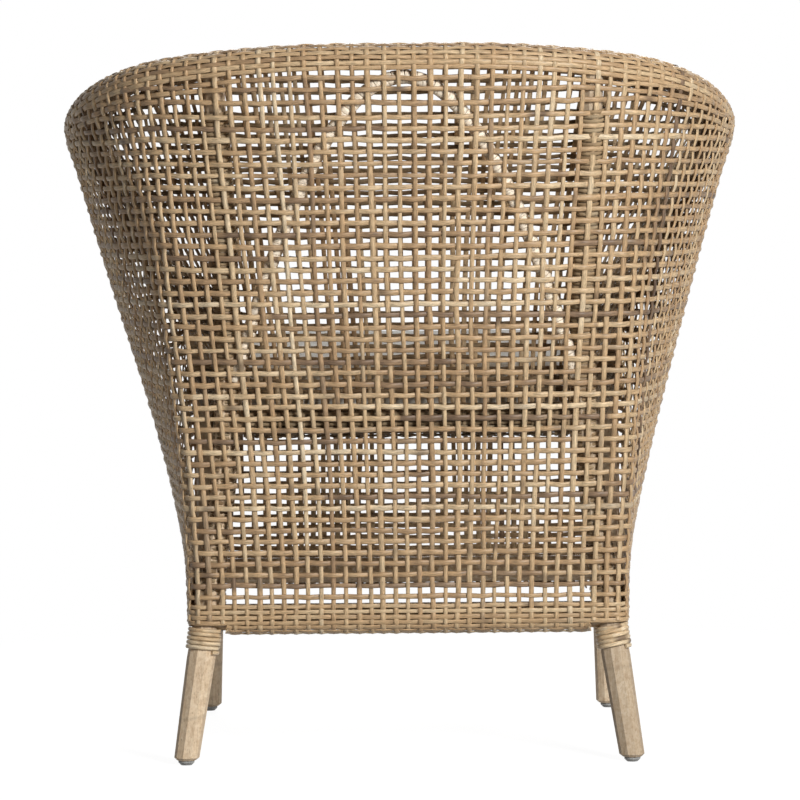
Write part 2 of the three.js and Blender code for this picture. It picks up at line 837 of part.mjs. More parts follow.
seatSlats().forEach((slat, i) => add(`seat_slat_${i + 1}`, slat, frameWood));
add("outer_weave_back", backPanel(outerSkin), outerCane);
add("inner_weave_back", backPanel(innerSkin), innerCane);
add("front_weave", frontApron(), outerCane);
add("seat_cushion", seatCushion(), linen);

const turnGap = Math.min(...[...rearPoles, ...frontPoles].map(leastTurnGap));
console.log(`leg bindings: least gap between turns ${turnGap.toFixed(2)} mm`);

// The origin is on the floor under the middle of the chair's outline.
const bounds = new THREE.Box3().setFromObject(chair);
chair.position.y = -(bounds.min.y + bounds.max.y) / 2;

export default chair;
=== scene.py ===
# %% [markdown]
# # A woven rattan tub chair
# The real chair is a frame of bent rattan poles, with an open weave of split cane outside it and
# another inside it, both hung from one rim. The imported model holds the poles, rails, slats and
# glides at their real size. This lesson dresses them: every strand of the weave, the cane wound
# round the poles, the shaved legs and the linen cushion.

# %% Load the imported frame
import math

import bmesh
import bpy
import numpy as np
from mathutils import Matrix, Vector
from mathutils.bvhtree import BVHTree


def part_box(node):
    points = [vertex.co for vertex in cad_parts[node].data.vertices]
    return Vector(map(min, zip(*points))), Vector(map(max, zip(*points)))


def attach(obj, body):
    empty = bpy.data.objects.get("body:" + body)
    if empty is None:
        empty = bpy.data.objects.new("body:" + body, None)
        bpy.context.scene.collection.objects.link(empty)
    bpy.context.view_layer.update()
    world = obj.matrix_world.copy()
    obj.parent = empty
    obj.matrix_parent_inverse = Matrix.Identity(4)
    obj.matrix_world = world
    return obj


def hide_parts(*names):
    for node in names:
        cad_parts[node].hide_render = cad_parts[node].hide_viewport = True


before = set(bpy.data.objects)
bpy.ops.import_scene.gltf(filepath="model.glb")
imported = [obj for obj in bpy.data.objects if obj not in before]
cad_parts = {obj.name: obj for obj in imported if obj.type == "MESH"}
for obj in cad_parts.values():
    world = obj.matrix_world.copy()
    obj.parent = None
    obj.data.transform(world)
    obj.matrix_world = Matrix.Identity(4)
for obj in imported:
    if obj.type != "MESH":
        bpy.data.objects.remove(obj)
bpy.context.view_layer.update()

scene = bpy.context.scene

# %% [markdown]
# ## Camera
# The photograph looks at the back of the chair from about ten metres through a long lens, five
# degrees downwards, so its upright lines hardly lean together. A pinhole camera with the same
# distance, pitch and lens repeats that view, and needs no lens shift. A small roll takes up the
# lean of the chair in the picture.

# %% Camera
camera_distance = 10.0
camera_height = 1.278
camera_pitch = math.radians(90 - 4.995)
camera_turn = math.radians(180.040)
camera_roll = math.radians(-0.5)
camera_lens = 408.8

camera_data = bpy.data.cameras.new("camera")
camera_data.lens = camera_lens
camera_data.sensor_width = 36.0
camera_data.clip_start = 0.1
camera_data.clip_end = 60.0
camera = bpy.data.objects.new("camera", camera_data)
rear_feet = sum(corner.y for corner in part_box("rear_glide_left")) / 2
camera.location = (0.0, rear_feet + camera_distance, camera_height)
look = Matrix.Rotation(camera_turn, 3, "Z") @ Matrix.Rotation(camera_pitch, 3, "X")
camera.rotation_euler = (look @ Matrix.Rotation(camera_roll, 3, "Z")).to_euler()
scene.collection.objects.link(camera)
scene.camera = camera
print("camera stands", round(camera.location.y, 3), "m behind the chair's middle")

# %% [markdown]
# ## Floor, backdrop and light
# The chair stands on a white sweep. The floor and the world show as white to the camera and to
# reflections, and near the chair the floor keeps part of its shadow. The lamps stay at a plain
# level: a broad one behind the chair, on the side that is brighter in the photograph, a weaker
# one in front, which lights what shows through the weave, and a faint one overhead.

# %% Floor, world and lamps
floor_half = 15.0
floor_grey = 0.45
floor_roughness = 0.9
shadow_kept = 0.3
shadow_near, shadow_far = 0.55, 1.15
glow_near, glow_far = 1.36, 1.0
sky_strength = 0.03
backdrop_strength = 1.0
chair_middle = (0.0, 0.0, 0.45)
lamps = (
    ("key_lamp", (-2.0, 3.8, 2.0), 195.0, 1.1),
    ("front_lamp", (-0.2, -3.6, 2.1), 95.0, 2.2),
    ("top_lamp", (0.0, -0.6, 3.4), 12.0, 2.4),
)


def seen_directly(tree):
    """1 for the camera's rays, and for reflections and rays through glass. 0 for all others."""
    path = tree.nodes.new("ShaderNodeLightPath")
    share = path.outputs["Is Camera Ray"]
    for kind in ("Is Glossy Ray", "Is Transmission Ray"):
        either = tree.nodes.new("ShaderNodeMath")
        either.operation = "MAXIMUM"
        tree.links.new(share, either.inputs[0])
        tree.links.new(path.outputs[kind], either.inputs[1])
        share = either.outputs[0]
    return share


def show_white(tree, share, plain, white, output):
    """Lets a share of the rays see the white shader, and the rest the plain one."""
    mix = tree.nodes.new("ShaderNodeMixShader")
    tree.links.new(share, mix.inputs[0])
    tree.links.new(plain.outputs[0], mix.inputs[1])
    tree.links.new(white.outputs[0], mix.inputs[2])
    tree.links.new(mix.outputs[0], tree.nodes[output].inputs["Surface"])


world = bpy.data.worlds.new("studio")
scene.world = world
world.use_nodes = True
world_tree = world.node_tree
sky = world_tree.nodes["Background"]
backdrop = world_tree.nodes.new("ShaderNodeBackground")
for shader, strength in ((sky, sky_strength), (backdrop, backdrop_strength)):
    shader.inputs["Color"].default_value = (1, 1, 1, 1)
    shader.inputs["Strength"].default_value = strength
show_white(world_tree, seen_directly(world_tree), sky, backdrop, "World Output")

floor_mesh = bpy.data.meshes.new("floor")
floor_corners = [
    (x * floor_half, y * floor_half, 0) for x, y in ((-1, -1), (1, -1), (1, 1), (-1, 1))
]
floor_mesh.from_pydata(floor_corners, [], [(0, 1, 2, 3)])
floor = bpy.data.objects.new("floor", floor_mesh)
scene.collection.objects.link(floor)
floor_paint = bpy.data.materials.new("floor_white")
floor_paint.use_nodes = True
floor_tree = floor_paint.node_tree
floor_surface = floor_tree.nodes["Principled BSDF"]
floor_surface.inputs["Base Color"].default_value = (floor_grey, floor_grey, floor_grey, 1)
floor_surface.inputs["Roughness"].default_value = floor_roughness
floor_surface.inputs["Specular IOR Level"].default_value = 0.0
spot = floor_tree.nodes.new("ShaderNodeTexCoord")
distance = floor_tree.nodes.new("ShaderNodeVectorMath")
distance.operation = "LENGTH"
floor_tree.links.new(spot.outputs["Object"], distance.inputs[0])


def outward(near, far):
    """A value that turns from near to far where the chair's shadow ends."""
    fade = floor_tree.nodes.new("ShaderNodeMapRange")
    fade.interpolation_type = "SMOOTHSTEP"
    for socket, value in (
        ("From Min", shadow_near), ("From Max", shadow_far), ("To Min", near), ("To Max", far),
    ):
        fade.inputs[socket].default_value = value
    floor_tree.links.new(distance.outputs["Value"], fade.inputs["Value"])
    return fade.outputs["Result"]


glow = floor_tree.nodes.new("ShaderNodeEmission")
floor_tree.links.new(outward(glow_near, glow_far), glow.inputs["Strength"])
glow_share = floor_tree.nodes.new("ShaderNodeMath")
glow_share.operation = "MULTIPLY"
floor_tree.links.new(seen_directly(floor_tree), glow_share.inputs[0])
floor_tree.links.new(outward(1 - shadow_kept, 1.0), glow_share.inputs[1])
show_white(floor_tree, glow_share.outputs[0], floor_surface, glow, "Material Output")
floor_mesh.materials.append(floor_paint)


def lamp(name, place, power, size):
    """A square soft lamp at a place, turned to the chair's middle."""
    data = bpy.data.lights.new(name, "AREA")
    data.energy = power
    data.size = size
    made = bpy.data.objects.new(name, data)
    made.location = place
    way = Vector(chair_middle) - Vector(place)
    made.rotation_euler = way.to_track_quat("-Z", "Y").to_euler()
    scene.collection.objects.link(made)


for setting in lamps:
    lamp(*setting)
scene.view_settings.view_transform = "Standard"

# %% [markdown]
# ## The two walls
# Both skins hang between the plan of the rails and one bent rim. The same few sizes that set the
# poles of the frame set these surfaces, so the strands can be laid on them with no fitting. A
# place runs from -1 at one arm, through 0 at the middle of the back, to 1 at the other arm, and a
# height is in metres.

# %% Sizes of the walls
rim_height = 0.786
rim_half_width = 0.356
rim_overhang = 0.075
arm_depth = 0.487
arm_height = 0.470
foot_depth = 0.500
rear_knee_half_span = 0.225
rear_knee_inset = 0.012
front_knee_half_span = 0.230
pole_diameter = 0.030
rim_pole_diameter = 0.026
arch_pole_diameter = 0.014
skin_thickness = 0.005
skin_gap = 0.0011
rim_skin_gap = 0.0022
weave_bottom = 0.148
rim_lap = 0.002
inner_corner_radius = 0.042
post_head_half_span = 0.229
post_head_height = 0.415
knee_height = 0.150
joint_gap = 0.0003
waist_height, waist_slice = 0.400, 0.02
inner_front_inset = 0.0115
inner_sink = 0.001

rim_shares = [
    (0, 0, 1), (0.309, 0.005, 0.997), (0.576, 0.041, 0.972), (0.792, 0.116, 0.927),
    (0.938, 0.244, 0.858), (1, 0.4, 0.75), (0.972, 0.534, 0.655), (0.871, 0.683, 0.455),
    (0.758, 0.833, 0.2), (0.685, 0.934, 0.063), (0.66, 1, 0),
]
flare_shares = [0, 0.01, 0.085, 0.18, 0.285, 0.4, 0.52, 0.64, 0.76, 0.88, 1]
inner_belly_shares = (0.32, 0.55)
inner_back_power = 1.25
inner_side_power = 0.72
sill_share = 0.07

# The walls are written from the line of the rear feet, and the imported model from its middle.
rail_low, rail_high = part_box("bottom_rail_rear")
rear_line = (rail_low.y + rail_high.y) / 2 + rear_knee_inset
clad = (pole_diameter + skin_thickness) / 2 + skin_gap
rim_clad = (rim_pole_diameter + skin_thickness) / 2 + rim_skin_gap
bottom_rail_height = (rail_low.z + rail_high.z) / 2
seat_rail_low, seat_rail_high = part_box("seat_rail_rear")
seat_rail_height = (seat_rail_low.z + seat_rail_high.z) / 2
seat_rear_y = (seat_rail_low.y + seat_rail_high.y) / 2 - rear_line
print("rear feet at y", round(rear_line, 4), "seat rail at", round(seat_rear_y, 4))


# %% A smooth line through points
def cubic(line, first, share):
    """Values at shares of one span of a Catmull-Rom line, from the four points that shape it."""
    before, start, stop, after = (line[first + k] for k in range(4))
    leave, arrive = (stop - before) / 2, (after - start) / 2
    return (
        (2 * start - 2 * stop + leave + arrive) * share**3
        + (3 * stop - 3 * start - 2 * leave - arrive) * share**2
        + leave * share
        + start
    )


def smooth_line(points, share):
    """Points at shares from 0 to 1 along an even Catmull-Rom line through the given ones."""
    points = np.asarray(points, float)
    ends = np.vstack([2 * points[0] - points[1], points, 2 * points[-1] - points[-2]])
    place = np.clip(np.asarray(share, float), 0, 1) * (len(points) - 1)
    first = np.minimum(place.astype(int), len(points) - 2)
    return cubic(ends, first, (place - first)[:, None])


def rim_side(side):
    """The rim's points on one side, from behind the arm to its lower end on the front post."""
    points = [
        (
            side * width * rim_half_width,
            rim_overhang - depth * (rim_overhang + arm_depth),
            arm_height + height * (rim_height - arm_height),
        )
        for width, depth, height in rim_shares[1:]
    ]
    middle = (arm_height + post_head_height) / 2
    points.append((side * (post_head_half_span + 1.5 * joint_gap), joint_gap - foot_depth, middle))
    points.append((side * post_head_half_span, -foot_depth, post_head_height + joint_gap))
    return points


rim_points = rim_side(-1)[::-1] + [(0, rim_overhang, rim_height)] + rim_side(1)
arm_share = 1 - 2 / (len(rim_points) - 1)
rim_line = smooth_line(rim_points, np.linspace(0.5, arm_share, 241))
rim_run = np.concatenate([[0], np.cumsum(np.hypot(*np.diff(rim_line[:, :2], axis=0).T))])
rim_half_length = rim_run[-1]
print("half rim", round(rim_half_length, 3), "m in plan")


# %% The rim, and the way out of the seat along it
shoulder = (0.33, 0.47, 0.85)
shoulder_drop = 0.005


def smooth_step(value, low, high):
    """0 up to low, 1 from high on, and an even rise between them."""
    share = np.clip((value - low) / (high - low), 0, 1)
    return share * share * (3 - 2 * share)


def rim_at(place):
    """Middle of the rim pole at places, run on straight past the arms' ends."""
    place = np.asarray(place, float)
    wanted = np.abs(place) * rim_half_length
    point = np.stack([np.interp(wanted, rim_run, rim_line[:, k]) for k in range(3)], axis=-1)
    beyond = np.maximum(wanted - rim_half_length, 0)[..., None]
    point = point + beyond * (rim_line[-1] - rim_line[-2]) / (rim_run[-1] - rim_run[-2])
    point[..., 0] *= np.where(place < 0, -1, 1)
    rise = smooth_step(np.abs(place), *shoulder[:2]) - smooth_step(np.abs(place), *shoulder[1:])
    point[..., 2] -= shoulder_drop * rise
    return point


def unit(vectors):
    """The same directions, each with length 1."""
    return vectors / np.maximum(np.linalg.norm(vectors, axis=-1, keepdims=True), 1e-12)


def rim_frame(place):
    """The rim's own directions at places: along it, level and out of the seat, and up across it."""
    nudge = 2e-3
    along = unit(rim_at(place + nudge) - rim_at(place - nudge))
    out = unit(np.stack([-along[..., 1], along[..., 0], np.zeros_like(along[..., 0])], axis=-1))
    up = np.cross(out, along)
    up = up * np.sign(up[..., 2:3])
    return along, out, up


check_out = rim_frame(np.array([0.0, 0.5, 1.0]))[1]
print("outward at the back, side and arm", np.round(check_out, 2).tolist())


# %% Plans of the two walls
def plan_line(corners):
    """A plan as points and the length run at each."""
    points = np.array(corners, float)
    run = np.concatenate([[0], np.cumsum(np.hypot(*np.diff(points, axis=0).T))])
    return points, run


def quarter(middle_x, middle_y, radius, steps=24):
    """A quarter turn from facing back to facing sideways."""
    angles = np.linspace(math.pi / 2, 0, steps + 1)
    return [(middle_x + radius * math.cos(a), middle_y + radius * math.sin(a)) for a in angles]


outer_plan, outer_run = plan_line(
    [(0, clad - rear_knee_inset)]
    + quarter(rear_knee_half_span, -rear_knee_inset, clad)
    + [(front_knee_half_span + clad, -foot_depth)]
)
inner_back_y = seat_rear_y - clad


def waist_half_span():
    """Half the span of the rear poles at the height of the seat rails, from their own solids."""
    points = np.array([v.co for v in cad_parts["rear_pole_right"].data.vertices])
    near = points[np.abs(points[:, 2] - waist_height) < waist_slice]
    return (near[:, 0].min() + near[:, 0].max()) / 2


seat_rear_half_span = waist_half_span()
seat_front_half_span = post_head_half_span + (front_knee_half_span - post_head_half_span) * (
    (post_head_height - seat_rail_height) / (post_head_height - knee_height)
)


def inner_side_x(y):
    """How far the inner wall's foot stands from the middle at one side."""
    share = (y - seat_rear_y) / (-foot_depth - seat_rear_y)
    return seat_rear_half_span + share * (seat_front_half_span - seat_rear_half_span) - clad


inner_front_y = -foot_depth + inner_front_inset
inner_back_half_span = inner_side_x(inner_back_y - inner_corner_radius) - inner_corner_radius
inner_plan, inner_run = plan_line(
    [(0, inner_back_y)]
    + quarter(inner_back_half_span, inner_back_y - inner_corner_radius, inner_corner_radius)
    + [(inner_side_x(inner_front_y), inner_front_y)]
)
print("half plans", round(outer_run[-1], 3), "and", round(inner_run[-1], 3), "m")


def plan_at(plan, run, place):
    """Across and back places of a plan at places round the chair."""
    wanted = np.minimum(np.abs(place), 1) * run[-1]
    x = np.interp(wanted, run, plan[:, 0]) * np.where(place < 0, -1, 1)
    return x, np.interp(wanted, run, plan[:, 1])


# %% The outer and the inner wall
inner_bottom = seat_rail_height - inner_sink + joint_gap


def flare(share):
    """How far out the outer wall stands at shares of its height."""
    values = np.array(flare_shares, float)
    padded = np.concatenate([values[:1], values, values[-1:]])
    place = np.clip(share, 0, 1) * (len(values) - 1)
    first = np.minimum(place.astype(int), len(values) - 2)
    return cubic(padded, first, place - first)


def outer_wall(place, height):
    """Points of the outer wall at places and heights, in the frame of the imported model."""
    place, height = np.broadcast_arrays(np.asarray(place, float), np.asarray(height, float))
    rim = rim_at(place)
    top = rim + rim_frame(place)[1] * rim_clad
    x, y = plan_at(outer_plan, outer_run, place)
    spread = flare((height - weave_bottom) / (rim[..., 2] - rim_lap - weave_bottom))
    return np.stack(
        [x + (top[..., 0] - x) * spread, y + (top[..., 1] - y) * spread + rear_line, height],
        axis=-1,
    )


def inner_wall(place, height):
    """The same for the inner wall."""
    place, height = np.broadcast_arrays(np.asarray(place, float), np.asarray(height, float))
    rim = rim_at(place)
    top = rim - rim_frame(place)[1] * rim_clad
    x, y = plan_at(inner_plan, inner_run, place)
    share = (height - inner_bottom) / (rim[..., 2] - rim_lap - inner_bottom)
    turn = smooth_step(np.abs(place), *inner_belly_shares)
    power = inner_back_power + (inner_side_power - inner_back_power) * turn
    spread = np.clip((share - sill_share) / (1 - sill_share), 1e-9, 1) ** power
    return np.stack(
        [x + (top[..., 0] - x) * spread, y + (top[..., 1] - y) * spread + rear_line, height],
        axis=-1,
    )


def compare_with_solids():
    """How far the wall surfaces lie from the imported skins, in millimetres."""
    for name, wall in (("outer_weave_back", outer_wall), ("inner_weave_back", inner_wall)):
        points = np.array([v.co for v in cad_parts[name].data.vertices])
        tree = BVHTree.FromPolygons(
            [v.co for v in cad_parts[name].data.vertices],
            [p.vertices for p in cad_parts[name].data.polygons],
        )
        span = np.linspace(-0.25, 0.25, 7)
        tests = wall(span, np.full(7, (points[:, 2].min() + points[:, 2].max()) / 2))
        gaps = [tree.find_nearest(Vector(p))[3] * 1000 for p in tests]
        print(name, "skin lies within", round(max(gaps), 2), "mm")


compare_with_solids()

# %% [markdown]
# ## One skin from foot to seat
# A weaver sees one skin: the upright stakes start curled under the bottom rail, climb the outer
# wall, bend over the rim and come down as the inner wall. So one surface serves every strand. Its
# first coordinate is the place round the chair, counted past the arms' ends into the front panel.
# Its second is the climb: the height on the outer wall, and the length travelled before and after
# it. Rows then are lines of even climb and stakes are lines of even place, and both stay on the
# same skin wherever it curls.

# %% Sizes of the skin
curl_radius = 0.0185
rim_band_side = rim_clad
rim_band_top = 0.0152
rim_turn_length = math.pi * 0.0164
rim_run_on = 1.02
under_curl, panel_bend = 2.2, 2.1
front_corner_turn = clad * math.pi / 2
front_panel_half = front_knee_half_span
stake_count = 146
leg_room = (0.020, 0.027)
shell_lean = 0.005
lean_heights = (0.30, 0.60)

wall_half_length = outer_run[-1]
loop_half_length = wall_half_length + front_corner_turn + front_panel_half
stake_pitch = 2 * loop_half_length / stake_count
place_pitch = stake_pitch / wall_half_length
print(stake_count, "stakes round the chair,", round(stake_pitch * 1000, 2), "mm apart at the foot")


# %% Plan of the whole loop, front panel included
def loop_plan(place):
    """Points and outward directions of the skin's foot in plan, all round the chair."""
    side = np.where(place < 0, -1.0, 1.0)
    x, y = plan_at(outer_plan, outer_run, place)
    step = 1e-4
    ahead = plan_at(outer_plan, outer_run, np.minimum(np.abs(place) + step, 1))
    behind = plan_at(outer_plan, outer_run, np.maximum(np.abs(place) - step, 0))
    along_x, along_y = ahead[0] - behind[0], ahead[1] - behind[1]
    length = np.maximum(np.hypot(along_x, along_y), 1e-9)
    out_x, out_y = -along_y / length * side, along_x / length
    past = (np.abs(place) - 1) * wall_half_length
    angle = np.clip(past / clad, 0, math.pi / 2)
    slide = np.maximum(past - front_corner_turn, 0)
    corner_x = side * (front_knee_half_span + clad * np.cos(angle) - slide)
    corner_y = -foot_depth - clad * np.sin(angle)
    round_front = past > 0
    x = np.where(round_front, corner_x, x)
    y = np.where(round_front, corner_y, y)
    out_x = np.where(round_front, side * np.cos(angle), out_x)
    out_y = np.where(round_front, -np.sin(angle), out_y)
    return np.stack([x, y], axis=-1), np.stack([out_x, out_y], axis=-1)


leg_places = np.array(
    [(s * rear_knee_half_span, -rear_knee_inset) for s in (-1, 1)]
    + [(s * front_knee_half_span, -foot_depth) for s in (-1, 1)]
)


def free_of_legs(place):
    """1 where the skin can curl under the bottom rail, 0 where a leg stands in the way."""
    foot, foot_out = loop_plan(place)
    centre = foot - foot_out * clad
    apart = centre[..., None, :] - leg_places
    return smooth_step(np.min(np.hypot(apart[..., 0], apart[..., 1]), axis=-1), *leg_room)


def leaned(points):
    """The photographed shell leans to one side over its feet by the width of one strand."""
    points = np.array(points, float)
    points[..., 0] += shell_lean * smooth_step(points[..., 2], *lean_heights)
    return points


def skin(place, climb):
    """Points of the whole skin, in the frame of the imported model."""
    place, climb = np.broadcast_arrays(np.asarray(place, float), np.asarray(climb, float))
    wall_place = np.clip(place, -rim_run_on, rim_run_on)
    rim = rim_at(wall_place)
    _, out, up = rim_frame(wall_place)
    top = rim[..., 2] - rim_lap
    foot, foot_out = loop_plan(place)
    past = (np.abs(place) > 1)[..., None]

    wall_height = np.clip(climb, bottom_rail_height, top)
    wall = outer_wall(wall_place, wall_height)
    front = np.stack([foot[..., 0], foot[..., 1] + rear_line, climb], axis=-1)
    over = np.clip((climb - seat_rail_height) / curl_radius, 0, panel_bend)
    panel = (np.abs(place) - 1) * wall_half_length > front_corner_turn
    bent_y = -foot_depth - clad * np.cos(over) + rear_line
    bent_z = np.minimum(climb, seat_rail_height) + curl_radius * np.sin(over)
    bent = np.stack([foot[..., 0], bent_y, bent_z], axis=-1)
    front = np.where((panel & (climb > seat_rail_height))[..., None], bent, front)
    point = np.where(past, front, wall)

    under = np.clip((climb - bottom_rail_height) / curl_radius, -under_curl, 0)
    centre = foot - foot_out * clad
    free = free_of_legs(place)
    reach = (curl_radius + (clad - curl_radius) * np.cos(under)) * np.cos(under)
    reach = clad + (reach - clad) * free
    drop = bottom_rail_height + curl_radius * np.sin(under)
    drop = climb + (drop - climb) * free
    curled = np.stack(
        [
            centre[..., 0] + foot_out[..., 0] * reach,
            centre[..., 1] + foot_out[..., 1] * reach + rear_line,
            drop,
        ],
        axis=-1,
    )
    point = np.where((climb < bottom_rail_height)[..., None], curled, point)

    turn = (climb - top) / rim_turn_length * math.pi
    arc = np.clip(turn, 0, math.pi)[..., None]
    middle = rim + np.array([0, rear_line, 0])
    lap = -rim_lap * np.abs(np.cos(arc)) * np.array([0, 0, 1.0])
    over_rim = middle + out * rim_band_side * np.cos(arc) + up * rim_band_top * np.sin(arc) + lap
    point = np.where((turn > 0)[..., None] & ~past, over_rim, point)

    inner_height = top - (climb - top - rim_turn_length)
    inside = inner_wall(wall_place, np.minimum(inner_height, top))
    return leaned(np.where((turn > math.pi)[..., None] & ~past, inside, point))


def skin_out(place, climb):
    """The skin's outward directions, away from the poles that it wraps."""
    step = 4e-4
    across = skin(place + step, climb) - skin(place - step, climb)
    upwards = skin(place, climb + step) - skin(place, climb - step)
    return unit(np.cross(upwards, across))


def rim_top(place):
    """Height at which the outer wall meets the rim."""
    return rim_at(np.clip(place, -rim_run_on, rim_run_on))[..., 2] - rim_lap


probe = np.array([0.0, 0.0, 0.0, 0.0, 0.9])
probe_climb = np.array([0.14, 0.4, 0.79, 0.85, 0.3])
print("skin", np.round(skin(probe, probe_climb), 3).tolist())
print("out", np.round(skin_out(probe, probe_climb), 2).tolist())

# %% [markdown]
# ## Cane strands
# Every strand, thick or thin, is the same thing: an oval of cane drawn along a line. Modelling
# thousands of crossings by hand would take weeks, so a strand starts as a line of points with a
# few notes: which way is outwards, how thick it is, how pale or dark its cane is, and how much
# painted shade darkens it. One Geometry Nodes tree turns all lines of a piece into solid strands.


# %% Geometry Nodes tree for strands
def strand_tree():
    """A node tree that sweeps an oval along every line, and the names of its inputs."""
    tree = bpy.data.node_groups.new("cane_strands", "GeometryNodeTree")
    tree.is_modifier = True
    sockets = {}
    for name, kind in (
        ("Lines", "NodeSocketGeometry"), ("Width", "NodeSocketFloat"),
        ("Thickness", "NodeSocketFloat"), ("Sides", "NodeSocketInt"),
        ("Cane", "NodeSocketMaterial"),
    ):
        made = tree.interface.new_socket(name, in_out="INPUT", socket_type=kind)
        sockets[name] = made.identifier
    tree.interface.new_socket("Strands", in_out="OUTPUT", socket_type="NodeSocketGeometry")
    nodes, links = tree.nodes, tree.links

    def node(kind, **settings):
        made = nodes.new(kind)
        for key, value in settings.items():
            setattr(made, key, value)
        return made

    def note(name, kind):
        made = node("GeometryNodeInputNamedAttribute", data_type=kind)
        made.inputs["Name"].default_value = name
        return made

    start = node("NodeGroupInput")
    end = node("NodeGroupOutput")
    lines = node("GeometryNodeMeshToCurve")
    links.new(start.outputs["Lines"], lines.inputs["Mesh"])
    turned = node("GeometryNodeSetCurveNormal", mode="FREE")
    links.new(lines.outputs["Curve"], turned.inputs["Curve"])
    links.new(note("out", "FLOAT_VECTOR").outputs["Attribute"], turned.inputs["Normal"])
    thick = node("GeometryNodeSetCurveRadius")
    links.new(turned.outputs["Curve"], thick.inputs["Curve"])
    links.new(note("girth", "FLOAT").outputs["Attribute"], thick.inputs["Radius"])
    far = node("GeometryNodeSplineParameter")
    measured = node("GeometryNodeStoreNamedAttribute", data_type="FLOAT", domain="POINT")
    measured.inputs["Name"].default_value = "along"
    links.new(thick.outputs["Curve"], measured.inputs["Geometry"])
    links.new(far.outputs["Length"], measured.inputs["Value"])

    ring = node("GeometryNodeCurvePrimitiveCircle", mode="RADIUS")
    ring.inputs["Radius"].default_value = 0.5
    links.new(start.outputs["Sides"], ring.inputs["Resolution"])
    size = node("ShaderNodeCombineXYZ")
    links.new(start.outputs["Thickness"], size.inputs["X"])
    links.new(start.outputs["Width"], size.inputs["Y"])
    oval = node("GeometryNodeTransform")
    oval.inputs["Rotation"].default_value = (0, 0, math.pi)
    links.new(ring.outputs["Curve"], oval.inputs["Geometry"])
    links.new(size.outputs["Vector"], oval.inputs["Scale"])
    turn = node("GeometryNodeSplineParameter")
    marked = node("GeometryNodeStoreNamedAttribute", data_type="FLOAT", domain="POINT")
    marked.inputs["Name"].default_value = "round"
    links.new(oval.outputs["Geometry"], marked.inputs["Geometry"])
    links.new(turn.outputs["Factor"], marked.inputs["Value"])

    swept = node("GeometryNodeCurveToMesh")
    swept.inputs["Fill Caps"].default_value = True
    links.new(measured.outputs["Geometry"], swept.inputs["Curve"])
    links.new(marked.outputs["Geometry"], swept.inputs["Profile Curve"])
    if "Scale" in swept.inputs:
        links.new(note("girth", "FLOAT").outputs["Attribute"], swept.inputs["Scale"])
    smooth = node("GeometryNodeSetShadeSmooth")
    links.new(swept.outputs["Mesh"], smooth.inputs["Geometry"])
    real = node("GeometryNodeRealizeInstances")
    links.new(smooth.outputs["Geometry"], real.inputs["Geometry"])
    dressed = node("GeometryNodeSetMaterial")
    links.new(real.outputs["Geometry"], dressed.inputs["Geometry"])
    links.new(start.outputs["Cane"], dressed.inputs["Material"])
    links.new(dressed.outputs["Geometry"], end.inputs["Strands"])
    return tree, sockets


strands_group, strands_sockets = strand_tree()
print("strand tree inputs", sorted(strands_sockets))


# %% A bundle of strand lines, and how it becomes a mesh
class Bundle:
    """Lines of strands that become one piece."""

    def __init__(self):
        self.points, self.out, self.girth, self.tint, self.shade = [], [], [], [], []
        self.edges, self.count = [], 0

    def add(self, points, out, girth, tint, shade=1.0, closed=False):
        number = len(points)
        first = np.arange(self.count, self.count + number - 1)
        pairs = np.stack([first, first + 1], axis=1)
        if closed:
            pairs = np.vstack([pairs, [self.count + number - 1, self.count]])
        self.points.append(points)
        self.out.append(out)
        self.girth.append(np.broadcast_to(girth, number))
        self.tint.append(np.broadcast_to(tint, number))
        self.shade.append(np.broadcast_to(shade, number))
        self.edges.append(pairs)
        self.count += number

    def mesh(self, name):
        """All lines as one mesh of points and edges, with the notes as attributes."""
        made = bpy.data.meshes.new(name)
        points = np.concatenate(self.points)
        pairs = np.concatenate(self.edges)
        made.vertices.add(len(points))
        made.vertices.foreach_set("co", points.ravel())
        made.edges.add(len(pairs))
        made.edges.foreach_set("vertices", pairs.astype(np.int32).ravel())
        for key, kind, field, values in (
            ("out", "FLOAT_VECTOR", "vector", self.out), ("girth", "FLOAT", "value", self.girth),
            ("tint", "FLOAT", "value", self.tint), ("shade", "FLOAT", "value", self.shade),
        ):
            note = made.attributes.new(key, kind, "POINT")
            note.data.foreach_set(field, np.concatenate(values).astype(np.float32).ravel())
        made.update()
        return made


def finished(obj):
    """The evaluated shape of an object as a plain mesh."""
    graph = bpy.context.evaluated_depsgraph_get()
    return bpy.data.meshes.new_from_object(
        obj.evaluated_get(graph), preserve_all_data_layers=True, depsgraph=graph
    )


def solid_strands(name, bundle, width, thickness, sides, cane):
    """An object that holds a bundle's lines as solid strands."""
    made = bpy.data.objects.new(name, bundle.mesh(name + "_lines"))
    scene.collection.objects.link(made)
    modifier = made.modifiers.new("strands", "NODES")
    modifier.node_group = strands_group
    for socket, value in (
        ("Width", width), ("Thickness", thickness), ("Sides", sides), ("Cane", cane),
    ):
        modifier[strands_sockets[socket]] = value
    solid = finished(made)
    made.modifiers.clear()
    made.data = solid
    return made


def weave_piece(name, bundle, width, thickness, sides, cane, stands_for=()):
    """Turns a bundle into one finished piece on the chair."""
    made = solid_strands(name, bundle, width, thickness, sides, cane)
    solid = made.data
    solid.name = name
    for note in ("out", "girth", "custom_normal", "radius", "normal_mode"):
        if note in solid.attributes:
            solid.attributes.remove(solid.attributes[note])
    if stands_for:
        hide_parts(*stands_for)
    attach(made, "chair")
    triangles = sum(len(p.vertices) - 2 for p in solid.polygons)
    print(name, len(bundle.points), "strands", triangles, "triangles")
    return made


def wander(dice, run, size, shortest=0.09, longest=0.5, waves=4):
    """A slow uneven drift along a strand, as a hand lays it."""
    total = np.zeros_like(run)
    for _ in range(waves):
        length = dice.uniform(shortest, longest)
        total = total + dice.normal() * np.sin(2 * math.pi * (run / length + dice.random()))
    return total * size / math.sqrt(waves / 2)

